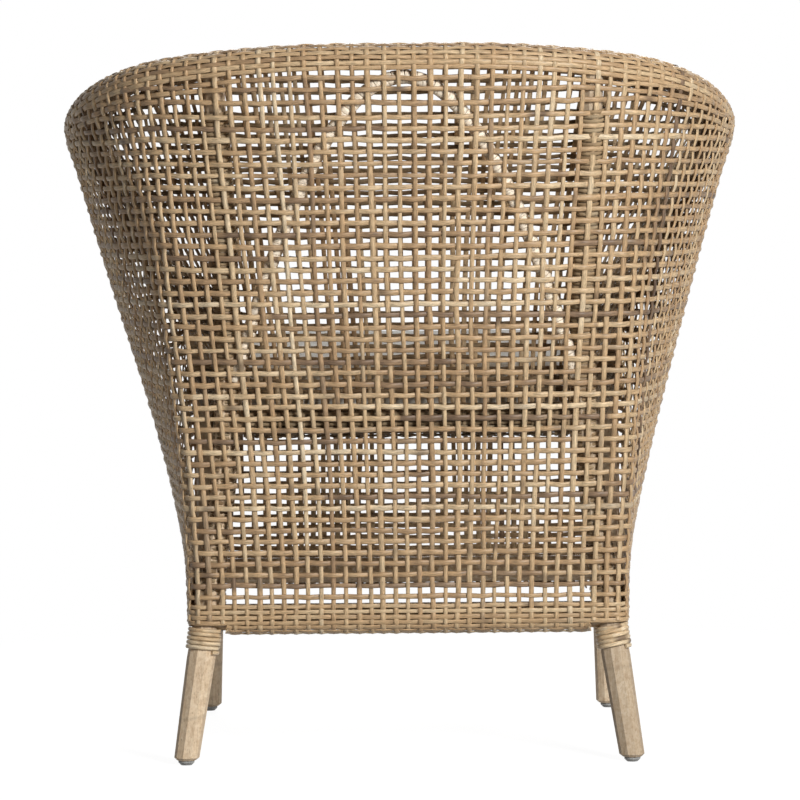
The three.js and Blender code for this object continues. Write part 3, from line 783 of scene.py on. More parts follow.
# %% [markdown]
# ## Materials of cane and pole
# Split cane is a natural strip: its skin is satin, each length has its own tone from cream over
# honey to grey-brown, and a strand changes tone where one length ends and the next begins. Long
# fibres run along it, and small dark specks sit on it. All of that is built from noise that runs
# along the strand, so it follows every bend.


# %% Colours as they look, turned into the numbers that Blender mixes
def tone(red, green, blue):
    """A colour seen on a screen, from 0 to 255, as linear light."""
    parts = [part / 255 for part in (red, green, blue)]
    return [v / 12.92 if v <= 0.04045 else ((v + 0.055) / 1.055) ** 2.4 for v in parts] + [1.0]


# A Mix node has sockets for each kind of value under one name. These are its colour sockets.
mix_first, mix_second, mix_result = 6, 7, 2


class Shader:
    """A material under construction, with short calls for its nodes."""

    def __init__(self, name):
        self.material = bpy.data.materials.new(name)
        self.material.use_nodes = True
        self.nodes = self.material.node_tree.nodes
        self.links = self.material.node_tree.links
        self.surface = self.nodes["Principled BSDF"]

    def put(self, target, value):
        if isinstance(value, bpy.types.NodeSocket):
            self.links.new(value, target)
        elif value is not None:
            target.default_value = value

    def math(self, operation, first, second=None, third=None):
        made = self.nodes.new("ShaderNodeMath")
        made.operation = operation
        for socket, value in zip(made.inputs, (first, second, third)):
            self.put(socket, value)
        return made.outputs[0]

    def times(self, first, second):
        return self.math("MULTIPLY", first, second)

    def plus(self, first, second):
        return self.math("ADD", first, second)

    def less(self, first, second):
        return self.math("SUBTRACT", first, second)

    def between(self, value, low, high):
        return self.math("MINIMUM", self.math("MAXIMUM", value, low), high)

    def past(self, value, limit, slope, high):
        """How far a value is past a limit, times a slope, from 0 to high."""
        return self.between(self.times(self.less(value, limit), slope), 0.0, high)

    def attribute(self, name):
        made = self.nodes.new("ShaderNodeAttribute")
        made.attribute_name = name
        return made.outputs["Fac"]

    def object_place(self):
        """The object's own coordinates, whole and as three numbers."""
        where = self.nodes.new("ShaderNodeTexCoord").outputs["Object"]
        split = self.nodes.new("ShaderNodeSeparateXYZ")
        self.links.new(where, split.inputs[0])
        return where, split.outputs

    def vector(self, x, y, z):
        made = self.nodes.new("ShaderNodeCombineXYZ")
        for socket, value in zip(made.inputs, (x, y, z)):
            self.put(socket, value)
        return made.outputs[0]

    def noise(self, place, scale, detail=2.0, roughness=0.5):
        made = self.nodes.new("ShaderNodeTexNoise")
        self.links.new(place, made.inputs["Vector"])
        made.inputs["Scale"].default_value = scale
        made.inputs["Detail"].default_value = detail
        made.inputs["Roughness"].default_value = roughness
        return made.outputs["Fac"]

    def ramp(self, value, stops):
        made = self.nodes.new("ShaderNodeValToRGB")
        made.color_ramp.elements[0].position = stops[0][0]
        made.color_ramp.elements[0].color = stops[0][1]
        made.color_ramp.elements[1].position = stops[-1][0]
        made.color_ramp.elements[1].color = stops[-1][1]
        for place, colour in stops[1:-1]:
            made.color_ramp.elements.new(place).color = colour
        self.links.new(value, made.inputs[0])
        return made.outputs[0]

    def mix(self, share, first, second, blend="MIX"):
        made = self.nodes.new("ShaderNodeMix")
        made.data_type = "RGBA"
        made.blend_type = blend
        self.put(made.inputs["Factor"], share)
        self.put(made.inputs[mix_first], first)
        self.put(made.inputs[mix_second], second)
        return made.outputs[mix_result]

    def bump(self, height, strength, distance):
        made = self.nodes.new("ShaderNodeBump")
        made.inputs["Strength"].default_value = strength
        made.inputs["Distance"].default_value = distance
        self.links.new(height, made.inputs["Height"])
        self.links.new(made.outputs[0], self.surface.inputs["Normal"])

    def finish(self, colour, roughness, specular=0.5):
        self.put(self.surface.inputs["Base Color"], colour)
        self.put(self.surface.inputs["Roughness"], roughness)
        self.surface.inputs["Specular IOR Level"].default_value = specular
        return self.material


# %% Split cane
cane_tones = [
    (0.00, tone(222, 202, 170)), (0.22, tone(204, 178, 141)), (0.45, tone(186, 155, 117)),
    (0.62, tone(165, 135, 102)), (0.80, tone(132, 108, 85)), (1.00, tone(88, 68, 51)),
]
stain_tone, grey_tone, washed_tone = tone(104, 84, 66), tone(166, 146, 120), tone(216, 208, 194)
strand_apart = 97.0
lengths_per_metre = 1.9
length_change, slow_change = 0.28, 0.8
fibre_relief = 0.0004


def cane_material(name, brightness, gloss, shine=0.3, washed=0.0):
    """Cane whose tones, stains, fibres and specks run along the strand."""
    shader = Shader(name)
    times, plus, less = shader.times, shader.plus, shader.less
    along = shader.attribute("along")
    tint = shader.attribute("tint")
    shade = shader.attribute("shade")
    around = shader.attribute("round")
    strand = times(tint, strand_apart)

    def along_noise(stretch, beside, third, *settings):
        return shader.noise(shader.vector(times(along, stretch), beside, third), 1.0, *settings)

    lengths = shader.math("FLOOR", plus(times(along, lengths_per_metre), strand))
    chance = shader.nodes.new("ShaderNodeTexWhiteNoise")
    chance.noise_dimensions = "1D"
    shader.links.new(lengths, chance.inputs["W"])
    piece = times(less(chance.outputs["Value"], 0.5), length_change)
    slow = times(less(along_noise(16.0, strand, 0.0, 3.0), 0.5), slow_change)
    colour = shader.ramp(plus(plus(tint, piece), slow), cane_tones)

    stain = along_noise(21.0, plus(strand, 40.0), 0.0, 1.0)
    colour = shader.mix(shader.past(stain, 0.665, 9.0, 0.85), colour, stain_tone)
    grey = along_noise(8.0, plus(strand, 80.0), 0.0, 2.0)
    colour = shader.mix(shader.past(grey, 0.58, 4.0, 0.6), colour, grey_tone)
    if washed:
        colour = shader.mix(washed, colour, washed_tone)

    fibre = along_noise(110.0, strand, times(around, 10.0), 3.0, 0.65)
    specks = along_noise(420.0, strand, times(around, 9.0), 1.0)
    dark = plus(shader.math("SMOOTH_MIN", times(specks, -9.0), 0.0, 0.1), 6.9)
    clear = shader.math("MULTIPLY_ADD", shader.between(dark, 0.0, 1.0), 0.4, 0.6)
    # The shade note and the brightness scale the cane's level; where they fall below 1 they paint
    # shade on it.
    level = times(times(times(times(fibre, 2.0), shade), brightness), clear)
    colour = shader.mix(1.0, colour, shader.vector(level, level, level), "MULTIPLY")
    shader.bump(fibre, 0.35, fibre_relief)
    return shader.finish(colour, shader.math("MULTIPLY_ADD", fibre, 0.25, gloss), shine)


outer_cane = cane_material("outer_split_cane", 1.0, 0.30)
# The inside cane is the same split cane drawn darker: painted shade for the shadowed inside of the
# chair and its seat rails.
inner_cane_painted_shade = cane_material("inner_split_cane_painted_shade", 0.45, 0.45, 0.12)
binding_cane = cane_material("binding_flat_cane", 1.08, 0.30)
# The stile windings are the same cane drawn darker: painted shade for the hollow between the skins.
stile_cane_painted_shade = cane_material("stile_flat_cane_painted_shade", 0.62, 0.45, 0.12)
pale_cane = cane_material("pale_flat_cane", 1.35, 0.40, 0.2, 0.65)

# %% [markdown]
# ## The open rows
# The weave is plain: each row passes before one stake and behind the next, and the row above does
# the opposite. The rows lie level round the chair. Where the rim drops towards the arms, the rows
# that meet it are pressed down under it, close up, and end tucked beneath the rim's close band.
# The level rows were read off the picture near the rim, and keep an even pitch below it.

# %% Heights of the rows
first_rows = [0.7665, 0.7526, 0.7380, 0.7219, 0.7087, 0.6964, 0.6832]
lowest_row = 0.1867
rows_below = 39
top_pitch, bottom_pitch = 0.01332, 0.01245
shares = np.linspace(top_pitch, bottom_pitch, rows_below)
regular = first_rows[-1] - np.cumsum(shares) * (first_rows[-1] - lowest_row) / shares.sum()
outer_levels = np.concatenate([first_rows, regular])[::-1]
inner_levels = 0.5490 + 0.0124 * np.arange(-11, 18)
close_pitch = 0.0057
full_drop = 0.085
drop_heights = (0.35, 0.76)
outer_margin, inner_margin = 0.0165, 0.0145
outer_tuck, inner_tuck, tuck_slope = 0.008, 0.006, 0.012
rows_tucked = 0.9
pitch_above = 0.013
rear_depth = clad - rear_knee_inset
rim_rows_start = -0.0073
rim_rows_number = 13
bottom_rows = bottom_rail_height + 0.0130 - 0.0060 * np.arange(8)
leg_row_bottom = 0.1565
row_free, stake_free = 0.3, 0.6
shortest_row = 8
print(len(outer_levels), "open rows outside,", len(inner_levels), "inside")


def soft_lower(first, second, blend=0.002):
    """The lower of two heights, with the corner between them rounded."""
    both = np.minimum(first, second)
    rounded = np.exp(-(first - both) / blend) + np.exp(-(second - both) / blend)
    return both - blend * np.log(rounded)


def forward_drop(place, level):
    """High rows slope down a little towards the arms, as the rim does, and low rows lie level."""
    ahead = rear_depth - loop_plan(place)[0][..., 1]
    return full_drop * smooth_step(level, *drop_heights) * ahead


def packed_height(place, level_number, levels, margin):
    """Height of an open row, pressed down where it meets the rim, and the rows left above it."""
    drop = forward_drop(place, levels[level_number])
    limit = rim_top(place) - margin + drop
    below = np.interp(limit, levels, np.arange(len(levels)))
    over = limit > levels[-1]
    below = np.where(over, len(levels) - 1 + (limit - levels[-1]) / pitch_above, below)
    highest = np.minimum(len(levels) - 1, below + rows_tucked)
    above = highest - level_number
    pressed = limit - close_pitch * np.maximum(above, 0)
    return soft_lower(np.full_like(limit, levels[level_number]), pressed) - drop, above


stake_spread = 0.017
weave_dice = np.random.default_rng(11)


def stake_place(number, climb):
    """Where a stake stands at a climb. Stakes fan out behind the back, and less at the sides."""
    place = np.asarray(number, float) * place_pitch
    top = rim_top(place)
    share = (climb - weave_bottom) / (top - weave_bottom)
    fanned = np.where(np.abs(place) < 1, stake_spread * np.sin(2 * math.pi * place), 0)
    return place + fanned * np.where(share < 1, flare(share), 1)


row_swing, stake_swing = 0.00145, 0.0008
# Inner strands at the chair's sides are darkened by this share: painted shade for the shadowed
# insides of the arms.
painted_side_shade, side_stakes = 0.3, (15, 24)
sample_shares = np.array([0, 1 / 3, 2 / 3])


def stake_samples(first, last):
    """Three places a stake from the first stake to the last, counted from the chair's back."""
    whole = np.arange(first, last)
    return np.append((whole[:, None] + sample_shares).ravel(), last)


def swing(count, parity, size, dice):
    """How far a row stands out at each sample: out at one stake and in at the next."""
    crossings = np.floor(count + 1e-6).astype(int)
    crossings = crossings - crossings.min()
    strength = dice.uniform(0.85, 1.15, crossings.max() + 2)
    return np.cos(math.pi * (count + parity)) * size * strength[crossings]


def push(count, size, dice):
    """Small rises and falls of a row from one crossing to the next."""
    crossings = np.floor(count + 1e-6).astype(int)
    crossings = crossings - crossings.min()
    values = dice.normal(0, size, crossings.max() + 2)
    part = count - np.floor(count + 1e-6)
    return values[crossings] * (1 - part) + values[crossings + 1] * part


def level_row(level):
    """A row that stays at one climb."""
    return lambda place: np.full(len(place), level)


def row_over_legs(level):
    """A row under the bottom rail, drawn up beside the legs."""
    return lambda place: level + (leg_row_bottom - level) * (
        1 - smooth_step(free_of_legs(place), row_free, 0.9)
    )


def row_along_rim(offset):
    """A row that follows the rim."""
    return lambda place: rim_top(place) + offset


def inner_climb(place, height):
    """The climb of a height on the inner wall."""
    return 2 * rim_top(place) + rim_turn_length - height


def lay_row(bundle, count, climb_at, parity, dice, tint, size=row_swing, loose=1.0,
            closed=False, girth=1.0, shade=1.0):
    """Lays one row through stake numbers, at the climb that it has at each place."""
    place = count * place_pitch
    run = count * stake_pitch
    for _ in range(3):
        climb = climb_at(place)
        place = stake_place(count, climb)
    climb = climb + loose * (wander(dice, run, 0.0005) + push(count, 0.0003, dice))
    out = skin_out(place, climb)
    points = skin(place, climb) + out * swing(count, parity, size, dice)[:, None]
    thick = girth * dice.uniform(0.88, 1.1) * (1 + wander(dice, run, 0.05))
    bundle.add(points, out, thick, tint, shade, closed)


# %% Which cane each row is made of
dark_parts = [(0.562, 8, 17), (0.385, -16, 0), (0.297, -14, 6), (0.630, -40, -26), (0.24, 20, 33)]
dark_tint, dark_reach = 0.84, 0.0064
patch_tints = (-0.16, -0.08, 0.0, 0.0, 0.0, 0.10, 0.22)
patch_stakes = (14, 46)


def row_tint(dice, level, count=None):
    """Rows are tan and honey, with a new tone for each length of cane. A few parts are dark."""
    tint = float(np.clip(dice.normal(0.42, 0.07), 0.1, 0.8))
    if count is None:
        return tint
    tints = np.full(len(count), tint)
    start = count[0]
    while start < count[-1]:
        stop = start + dice.uniform(*patch_stakes)
        tints[(count >= start) & (count < stop)] += dice.choice(patch_tints)
        start = stop
    for dark_level, first, last in dark_parts:
        if abs(level - dark_level) < dark_reach:
            tints[(count > first + 0.5) & (count < last + 0.5)] = dark_tint
    return tints


# %% Open rows of the outer skin
panel_top = 0.362
low_rows_top = 0.42
arm_end = 54
bundles = {"outer_rows_low": Bundle(), "outer_rows_high": Bundle()}
for number, level in enumerate(outer_levels):
    home = bundles["outer_rows_low" if level < low_rows_top else "outer_rows_high"]
    if level < panel_top:
        count = stake_samples(-stake_count // 2, stake_count // 2)[:-1]
        tint = row_tint(weave_dice, level, count)
        lay_row(home, count, level_row(level), number, weave_dice, tint, closed=True)
        continue

    def climb_at(place, number=number):
        height, above = packed_height(place, number, outer_levels, outer_margin)
        return height + np.clip(-above * tuck_slope, 0, outer_tuck)

    count = stake_samples(-arm_end, arm_end)
    above = packed_height(stake_place(count, level), number, outer_levels, outer_margin)[1]
    inside = np.flatnonzero(above > -rows_tucked)
    part = count[inside[0]:inside[-1] + 1]
    lay_row(home, part, climb_at, number, weave_dice, row_tint(weave_dice, level, part))

for name, bundle in bundles.items():
    weave_piece(name, bundle, 0.0060, 0.0024, 8, outer_cane)

# %% [markdown]
# ## Close bands
# Along the bottom rail and over the rim the rows lie close, one against the next, and hide the
# pole under them. They are the same strands on the same skin, only with a pitch of one strand's
# width. The lowest ones run under the rail and stop at the legs. The front panel ends in such a
# band too, bent over the front seat rail.

# %% Bottom band, rim band and the front panel's top
first_rim_number = len(outer_levels)
after_rim_number = first_rim_number + rim_rows_number
panel_rows = 0.3675 + close_pitch * np.arange(9)
panel_stakes = (57, 89)
past_start = 20

close = Bundle()
for k, level in enumerate(bottom_rows):
    tint = row_tint(weave_dice, 0.0)
    count = stake_samples(-stake_count // 2, stake_count // 2)[:-1]
    if level > leg_row_bottom:
        lay_row(close, count, level_row(level), -1 - k, weave_dice, tint, 0.0006, 0.4, True)
        continue
    count = stake_samples(-stake_count // 2, stake_count // 2 + past_start)
    free = free_of_legs(count * place_pitch) > row_free
    edges = np.flatnonzero(np.diff(free.astype(int)))
    for first, last in zip(edges[:-1] + 1, edges[1:] + 1):
        if free[first] and last - first > shortest_row:
            part = count[first:last]
            lay_row(close, part, row_over_legs(level), -1 - k, weave_dice, tint, 0.0006, 0.4)
for k, level in enumerate(panel_rows):
    count = stake_samples(*panel_stakes)
    lay_row(close, count, level_row(level), k, weave_dice, row_tint(weave_dice, 0), 0.0009, 0.4)
weave_piece("bottom_and_panel_bands", close, 0.0053, 0.0017, 8, outer_cane)

close = Bundle()
rim_climbs = rim_rows_start + close_pitch * np.arange(rim_rows_number)
for k, offset in enumerate(rim_climbs):
    count = stake_samples(-arm_end, arm_end)
    tint = row_tint(weave_dice, 0)
    number = first_rim_number + k
    lay_row(close, count, row_along_rim(offset), number, weave_dice, tint, 0.0008, 0.5)
weave_piece("rim_band", close, 0.0052, 0.0021, 8, outer_cane)

# %% Rows of the inner skin
inner_close = np.array([0.3962, 0.3905, 0.3848])
inner = Bundle()
for index, level in enumerate(inner_levels):
    number = after_rim_number + len(inner_levels) - 1 - index

    def climb_at(place, index=index):
        height, above = packed_height(place, index, inner_levels, inner_margin)
        return inner_climb(place, height + np.clip(-above * tuck_slope, 0, inner_tuck))

    count = stake_samples(-arm_end, arm_end)
    above = packed_height(stake_place(count, 1.0), index, inner_levels, inner_margin)[1]
    inside = np.flatnonzero(above > -rows_tucked)
    part = count[inside[0]:inside[-1] + 1]
    tint = row_tint(weave_dice, 0)
    # Painted shade: the inner rows darken towards the sides, where the insides of the arms lie in
    # shadow.
    shade = 1 - painted_side_shade * smooth_step(np.abs(part), *side_stakes)
    lay_row(inner, part, climb_at, number, weave_dice, tint, shade=shade)
for k, level in enumerate(inner_close):
    number = after_rim_number + len(inner_levels) + k
    count = stake_samples(-arm_end, arm_end)
    tint = row_tint(weave_dice, 0)

    def climb_at(place, level=level):
        return inner_climb(place, level)

    lay_row(inner, count, climb_at, number, weave_dice, tint, 0.0009, 0.4, girth=1.08)
weave_piece("inner_rows", inner, 0.0059, 0.0022, 6, inner_cane_painted_shade)

# %% [markdown]
# ## Stakes
# A stake is one long rod. It starts curled under the bottom rail, climbs the outer wall between
# the rows, bends over the rim beneath the close band and runs down inside to the seat. It swings
# less than the rows do, because it is stiffer. At each row it stands on the other side.


# %% Where the rows cross one stake
def crossings_at(stake):
    """Climbs of the rows that cross a stake, and whether each passes it in front or behind."""
    place = stake * place_pitch
    here = np.array([place])
    climbs, numbers = [], []
    free = free_of_legs(here)[0] > stake_free
    for k, level in enumerate(bottom_rows):
        if free or level > leg_row_bottom:
            climbs.append(level)
            numbers.append(-1 - k)
    for number, level in enumerate(outer_levels):
        if abs(place) > 1:
            if level < panel_top:
                climbs.append(level)
                numbers.append(number)
            continue
        here = stake_place([stake], level)
        height, above = packed_height(here, number, outer_levels, outer_margin)
        if above[0] >= 0:
            climbs.append(height[0])
            numbers.append(number)
    if abs(place) > 1:
        climbs.extend(panel_rows)
        numbers.extend(range(len(panel_rows)))
    else:
        here = stake_place([stake], 1.0)
        top = rim_top(here)[0]
        climbs.extend(top + rim_climbs)
        numbers.extend(range(first_rim_number, after_rim_number))
        for index in range(len(inner_levels)):
            height, above = packed_height(here, index, inner_levels, inner_margin)
            if above[0] >= 0:
                climbs.append(2 * top + rim_turn_length - height[0])
                numbers.append(after_rim_number + len(inner_levels) - 1 - index)
        for k, level in enumerate(inner_close):
            climbs.append(2 * top + rim_turn_length - level)
            numbers.append(after_rim_number + len(inner_levels) + k)
    order = np.argsort(climbs)
    return np.array(climbs)[order], np.array(numbers)[order]


# %% Laying the stakes
corner_stake_top = 0.39
wide_gap = 0.008
over_rim_climbs = (0.02, 0.06)


def lay_stake(bundle, number, dice):
    """Lays one stake through the rows that cross it, and paints shade on it inside the chair's
    sides.
    """
    place = number * place_pitch
    climbs, rows = crossings_at(number)
    past_arm = abs(place) * wall_half_length - wall_half_length
    if abs(place) > 1 and abs(past_arm) < front_corner_turn:
        low = climbs < corner_stake_top
        climbs, rows = climbs[low], rows[low]
    side = np.where((rows + number) % 2 == 0, -1.0, 1.0)
    level = side * stake_swing * dice.uniform(0.8, 1.2, len(side))
    gaps = np.diff(climbs)
    steps = np.where(gaps > wide_gap, 3, 2)
    which = np.repeat(np.arange(len(gaps)), steps)
    part = np.concatenate([np.arange(n) / n for n in steps])
    climb = np.append(climbs[which] + part * gaps[which], climbs[-1])
    ease = (1 - np.cos(math.pi * part)) / 2
    off = np.append(level[which] * (1 - ease) + level[which + 1] * ease, level[-1])
    drift = wander(dice, climb, 0.0006, 0.12, 0.6)
    places = stake_place(np.full(len(climb), number), climb) + drift / wall_half_length
    out = skin_out(places, climb)
    points = skin(places, climb) + out * off[:, None]
    tint = float(np.clip(dice.normal(0.40, 0.09), 0.1, 0.8))
    # Painted shade: the part of a stake inside the chair darkens towards the sides.
    inside = smooth_step(climb - rim_top(places), *over_rim_climbs) * (abs(place) < 1)
    shade = 1 - painted_side_shade * inside * smooth_step(abs(number), *side_stakes)
    girth = dice.uniform(0.86, 1.2) * (1 + wander(dice, climb, 0.04))
    bundle.add(points, out, girth, tint, shade)


stake_dice = np.random.default_rng(23)
groups = (
    ("stakes_left", range(-56, -18), ("outer_weave_left", "inner_weave_left")),
    ("stakes_back", range(-18, 19), ("outer_weave_back", "inner_weave_back")),
    ("stakes_right", range(19, 57), ("outer_weave_right", "inner_weave_right")),
    ("stakes_front", range(57, 90), ("front_weave",)),
)
for name, numbers, hidden in groups:
    bundle = Bundle()
    for number in numbers:
        lay_stake(bundle, number, stake_dice)
    weave_piece(name, bundle, 0.0059, 0.0023, 6, outer_cane, hidden)

# %% [markdown]
# ## Bands on the seat rails
# The seat rails carry the inner skin, so each is covered by a short close weave of its own. The
# rear one shows through the open back as a solid band. Each is a fan of rows over the outer half
# of the rail, with short stakes bent round it.


# %% A close band along a straight rail
band_pitch = 0.0125
band_radius = 0.0174
band_angles = np.radians(np.arange(-80, 105, 18.5))
band_row_swing, band_stake_swing = 0.0009, 0.0007
seat_middle = np.array([0, -0.04, 0])


def rail_band(bundle, start, stop, dice):
    """Rows and short stakes over the outward half of a rail from start to stop."""
    start, stop = np.array(start, float), np.array(stop, float)
    length = np.linalg.norm(stop - start)
    along = (stop - start) / length
    out = np.cross([0, 0, 1.0], along)
    if out[:2] @ ((start + stop) / 2 - seat_middle)[:2] < 0:
        out = -out
    number = max(4, round(length / band_pitch))

    def place(share, angle, lift):
        radial = out * np.cos(angle)[:, None] + np.array([0, 0, 1.0]) * np.sin(angle)[:, None]
        points = start + (stop - start) * share[:, None]
        points = points + radial * (band_radius + lift)[:, None]
        return points, radial

    for row, angle in enumerate(band_angles):
        count = np.arange(number * 3 + 1) / 3
        lift = band_row_swing * np.cos(math.pi * (count + row))
        turn = np.full(len(count), angle) + wander(dice, count * band_pitch, 0.02)
        points, radial = place(count / number, turn, lift)
        bundle.add(points, radial, 1.06, row_tint(dice, 0))
    for stake in range(number + 1):
        count = np.arange(len(band_angles) * 2 - 1) / 2
        lift = -band_stake_swing * np.cos(math.pi * (count + stake))
        turn = band_angles[0] + np.ptp(band_angles) * count / (len(band_angles) - 1)
        points, radial = place(np.full(len(count), stake / number), turn, lift)
        bundle.add(points, radial, 1.0, float(np.clip(dice.normal(0.4, 0.12), 0, 1)))


seat_bands = Bundle()
seat_dice = np.random.default_rng(31)
seat_y = seat_rear_y + rear_line
front_y = rear_line - foot_depth
clear_of_pole = 0.019
rail_band(
    seat_bands,
    (-seat_rear_half_span + clear_of_pole, seat_y, seat_rail_height),
    (seat_rear_half_span - clear_of_pole, seat_y, seat_rail_height),
    seat_dice,
)
for side in (-1, 1):
    rear = np.array([side * seat_rear_half_span, seat_y, seat_rail_height])
    fore = np.array([side * seat_front_half_span, front_y, seat_rail_height])
    run = (fore - rear) / np.linalg.norm(fore - rear)
    rail_band(seat_bands, rear + run * clear_of_pole, fore - run * clear_of_pole, seat_dice)
weave_piece("seat_rail_bands", seat_bands, 0.0049, 0.0020, 6, inner_cane_painted_shade)

# %% [markdown]
# ## Core of the rim
# Under the close band lies the bent rim pole. The weavers press the band down at the shoulders,
# where back turns into arm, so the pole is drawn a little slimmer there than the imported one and
# follows the band. Only glimpses of it show between the strands.

# %% Rim core
core_slimmer = 0.0022
core = Bundle()
core_places = np.linspace(-1.0, 1.0, 241)
core_end = np.array([(x, y, z) for x, y, z in rim_side(1)[:-3:-1]])
line = rim_at(core_places)
left_end = core_end * np.array([-1, 1, 1])
line = leaned(np.vstack([left_end, line, core_end[::-1]]) + np.array([0, rear_line, 0]))
away = np.tile([0.0, 0.0, 1.0], (len(line), 1))
away[:4] = away[-4:] = (0, -1, 0)
core.add(line, away, 1.0, 0.5)

# %% [markdown]
# ## Windings
# The rear poles are wound with flat cane from the bottom rail to the rim, the thin arch between
# the skins is wound in a paler cane, and each leg has a binding of five turns below the weave. A
# winding is a helix round the pole's own middle line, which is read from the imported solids, so
# it sits on the pole wherever the pole bends.


# %% Middle line of a pole, and a helix round a line
winding_step = 0.002


def pole_line(name):
    """Middle points and radii of a packed pole, from its level rings of corners."""
    points = np.array([v.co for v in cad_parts[name].data.vertices])
    heights = np.unique(np.round(points[:, 2], 4))
    middles, radii = [], []
    for height in heights:
        ring = points[np.abs(points[:, 2] - height) < 1e-4]
        if len(np.unique(np.round(ring, 5), axis=0)) >= 6:
            low, high = ring.min(0), ring.max(0)
            middles.append((low + high) / 2)
            radii.append((high[0] - low[0]) / 2)
    return np.array(middles), np.array(radii)


def resample(line, step):
    """Even steps along a smooth line through points."""
    dense = smooth_line(line, np.linspace(0, 1, 30 * len(line)))
    run = np.concatenate([[0], np.cumsum(np.linalg.norm(np.diff(dense, axis=0), axis=1))])
    wanted = np.linspace(0, run[-1], max(2, int(run[-1] / step)))
    return np.stack([np.interp(wanted, run, dense[:, k]) for k in range(3)], axis=1), wanted


def wind(bundle, line, radius, pitch, dice, tint, turn_samples=14):
    """Winds a strand round a line. The radius is one number, or one for each end."""
    middles, run = resample(line, winding_step)
    turns = run[-1] / pitch
    samples = int(turns * turn_samples)
    where = np.linspace(0, run[-1], samples)
    centre = np.stack([np.interp(where, run, middles[:, k]) for k in range(3)], axis=1)
    ahead = unit(np.gradient(centre, axis=0))
    aside = unit(np.cross(ahead, [0.0, 1.0, 0.03]))
    across = np.cross(ahead, aside)
    angle = where / pitch * 2 * math.pi + wander(dice, where, 0.12, 0.03, 0.2)
    radial = aside * np.cos(angle)[:, None] + across * np.sin(angle)[:, None]
    ends = np.broadcast_to(radius, 2)
    size = ends[0] + (ends[1] - ends[0]) * where / run[-1]
    tints = np.clip(tint + wander(dice, where, 0.10, 0.02, 0.12), 0, 1)
    girth = 1 + wander(dice, where, 0.04, 0.02, 0.1)
    bundle.add(centre + radial * size[:, None], radial, girth, tints)


# %% Wound rear poles, arch, legs and arm posts
stile_heights = (0.17, 0.762)
stile_pitch, stile_lift = 0.0052, 0.0006
leg_pitch, leg_lift = 0.0049, 0.0018
leg_rise_top, leg_rise_foot = 0.0078, 0.0088
arch_pitch, arch_lift = 0.0066, 0.0004
arm_pitch, arm_radii = 0.0051, (0.0222, 0.0206)
arm_foot_heights = (0.362, 0.388)
wind_dice = np.random.default_rng(41)
stiles, bindings = Bundle(), Bundle()
for side, word in ((-1, "left"), (1, "right")):
    middles, radii = pole_line("rear_pole_" + word)
    shaft = (middles[:, 2] > stile_heights[0]) & (middles[:, 2] < stile_heights[1])
    radius = radii[shaft].mean() + stile_lift
    wind(stiles, middles[shaft], radius, stile_pitch, wind_dice, 0.35)
    for end in ("rear", "front"):
        low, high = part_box(f"{end}_leg_binding_{word}")
        leg, leg_radii = pole_line(f"{end}_pole_{word}")
        heights = np.linspace(high.z + leg_rise_top, low.z + leg_rise_foot, 6)
        line = np.stack([np.interp(heights, leg[:, 2], leg[:, k]) for k in range(3)], axis=1)
        line[:, 2] = heights
        wind(bindings, line, leg_radii.max() + leg_lift, leg_pitch, wind_dice, 0.30, 20)
weave_piece("stile_windings", stiles, 0.0049, 0.0012, 6, stile_cane_painted_shade)
weave_piece(
    "leg_bindings", bindings, 0.0047, 0.0030, 8, binding_cane,
    ["rear_leg_binding_left", "rear_leg_binding_right",
     "front_leg_binding_left", "front_leg_binding_right"],
)

arch_top, arch_foot = 0.7657, 0.430
arch_half_span = 0.1875
arch_inside = skin_thickness / 2 + skin_gap + arch_pole_diameter / 2


def wall_depth_at(x, height):
    """How far back the outer wall stands at a place across the chair and a height."""
    places = np.linspace(0, 0.45, 200)
    points = outer_wall(places, np.full(200, height))
    return np.interp(abs(x), points[:, 0], points[:, 1])


arch_line = []
for x in np.linspace(-arch_half_span, arch_half_span, 41):
    height = arch_top - (arch_top - arch_foot) * (x / arch_half_span) ** 2
    arch_line.append((x, wall_depth_at(x, height) - arch_inside, height))
arch_winding = Bundle()
wind(arch_winding, arch_line, arch_pole_diameter / 2 + arch_lift, arch_pitch, wind_dice, 0.05)
weave_piece("arch_winding", arch_winding, 0.0068, 0.0008, 8, pale_cane)

arm_posts = Bundle()
for side in (-1, 1):
    bend = [(abs(x) * side, y + rear_line, z) for x, y, z in rim_side(1)[:-3:-1]]
    up_arm = rim_at(side * np.linspace(0.998, 0.945, 5)) + np.array([0, rear_line, 0])
    foot = [(side * seat_front_half_span, front_y, z) for z in arm_foot_heights]
    line = leaned(np.vstack([foot, bend, up_arm]))
    wind(arm_posts, line, arm_radii, arm_pitch, wind_dice, 0.38, 24)
weave_piece("arm_post_windings", arm_posts, 0.0052, 0.0022, 8, binding_cane)

# %% [markdown]
# ## Poles, rails and glides
# The bare legs are rattan poles, shaved by hand to a greyish beige: long soft facets, a grain that
# runs up the pole, a darker ring at each old node and a few scratches. Each leg has a lightness of
# its own: the front legs share a small lift, and the two rear legs differ as painted light and
# shade, one drawn lighter and one darker for the way the light falls on them. The poles and rails
# under the weave keep their skin and are a little darker, for the rails and slats partly as painted
# shade for the hollow under the weave. The imported solids have the right shape, so they only get
# these materials. The grain reads the object's own coordinates, squeezed along the pole's length.


# %% Shaved pole, hidden pole and glide
glow_tone, bare_tone, blotch_tone = (206, 186, 158), (224, 207, 182), (170, 144, 116)
ring_tone, fleck_tone = tone(112, 88, 66), tone(128, 98, 70)
rings_per_metre, ring_slant, ring_place, ring_sharpness = 5.3, 0.11, 0.42, 55.0
facet_stretch = 0.16
fleck_stretch = (900.0, 900.0, 300.0)


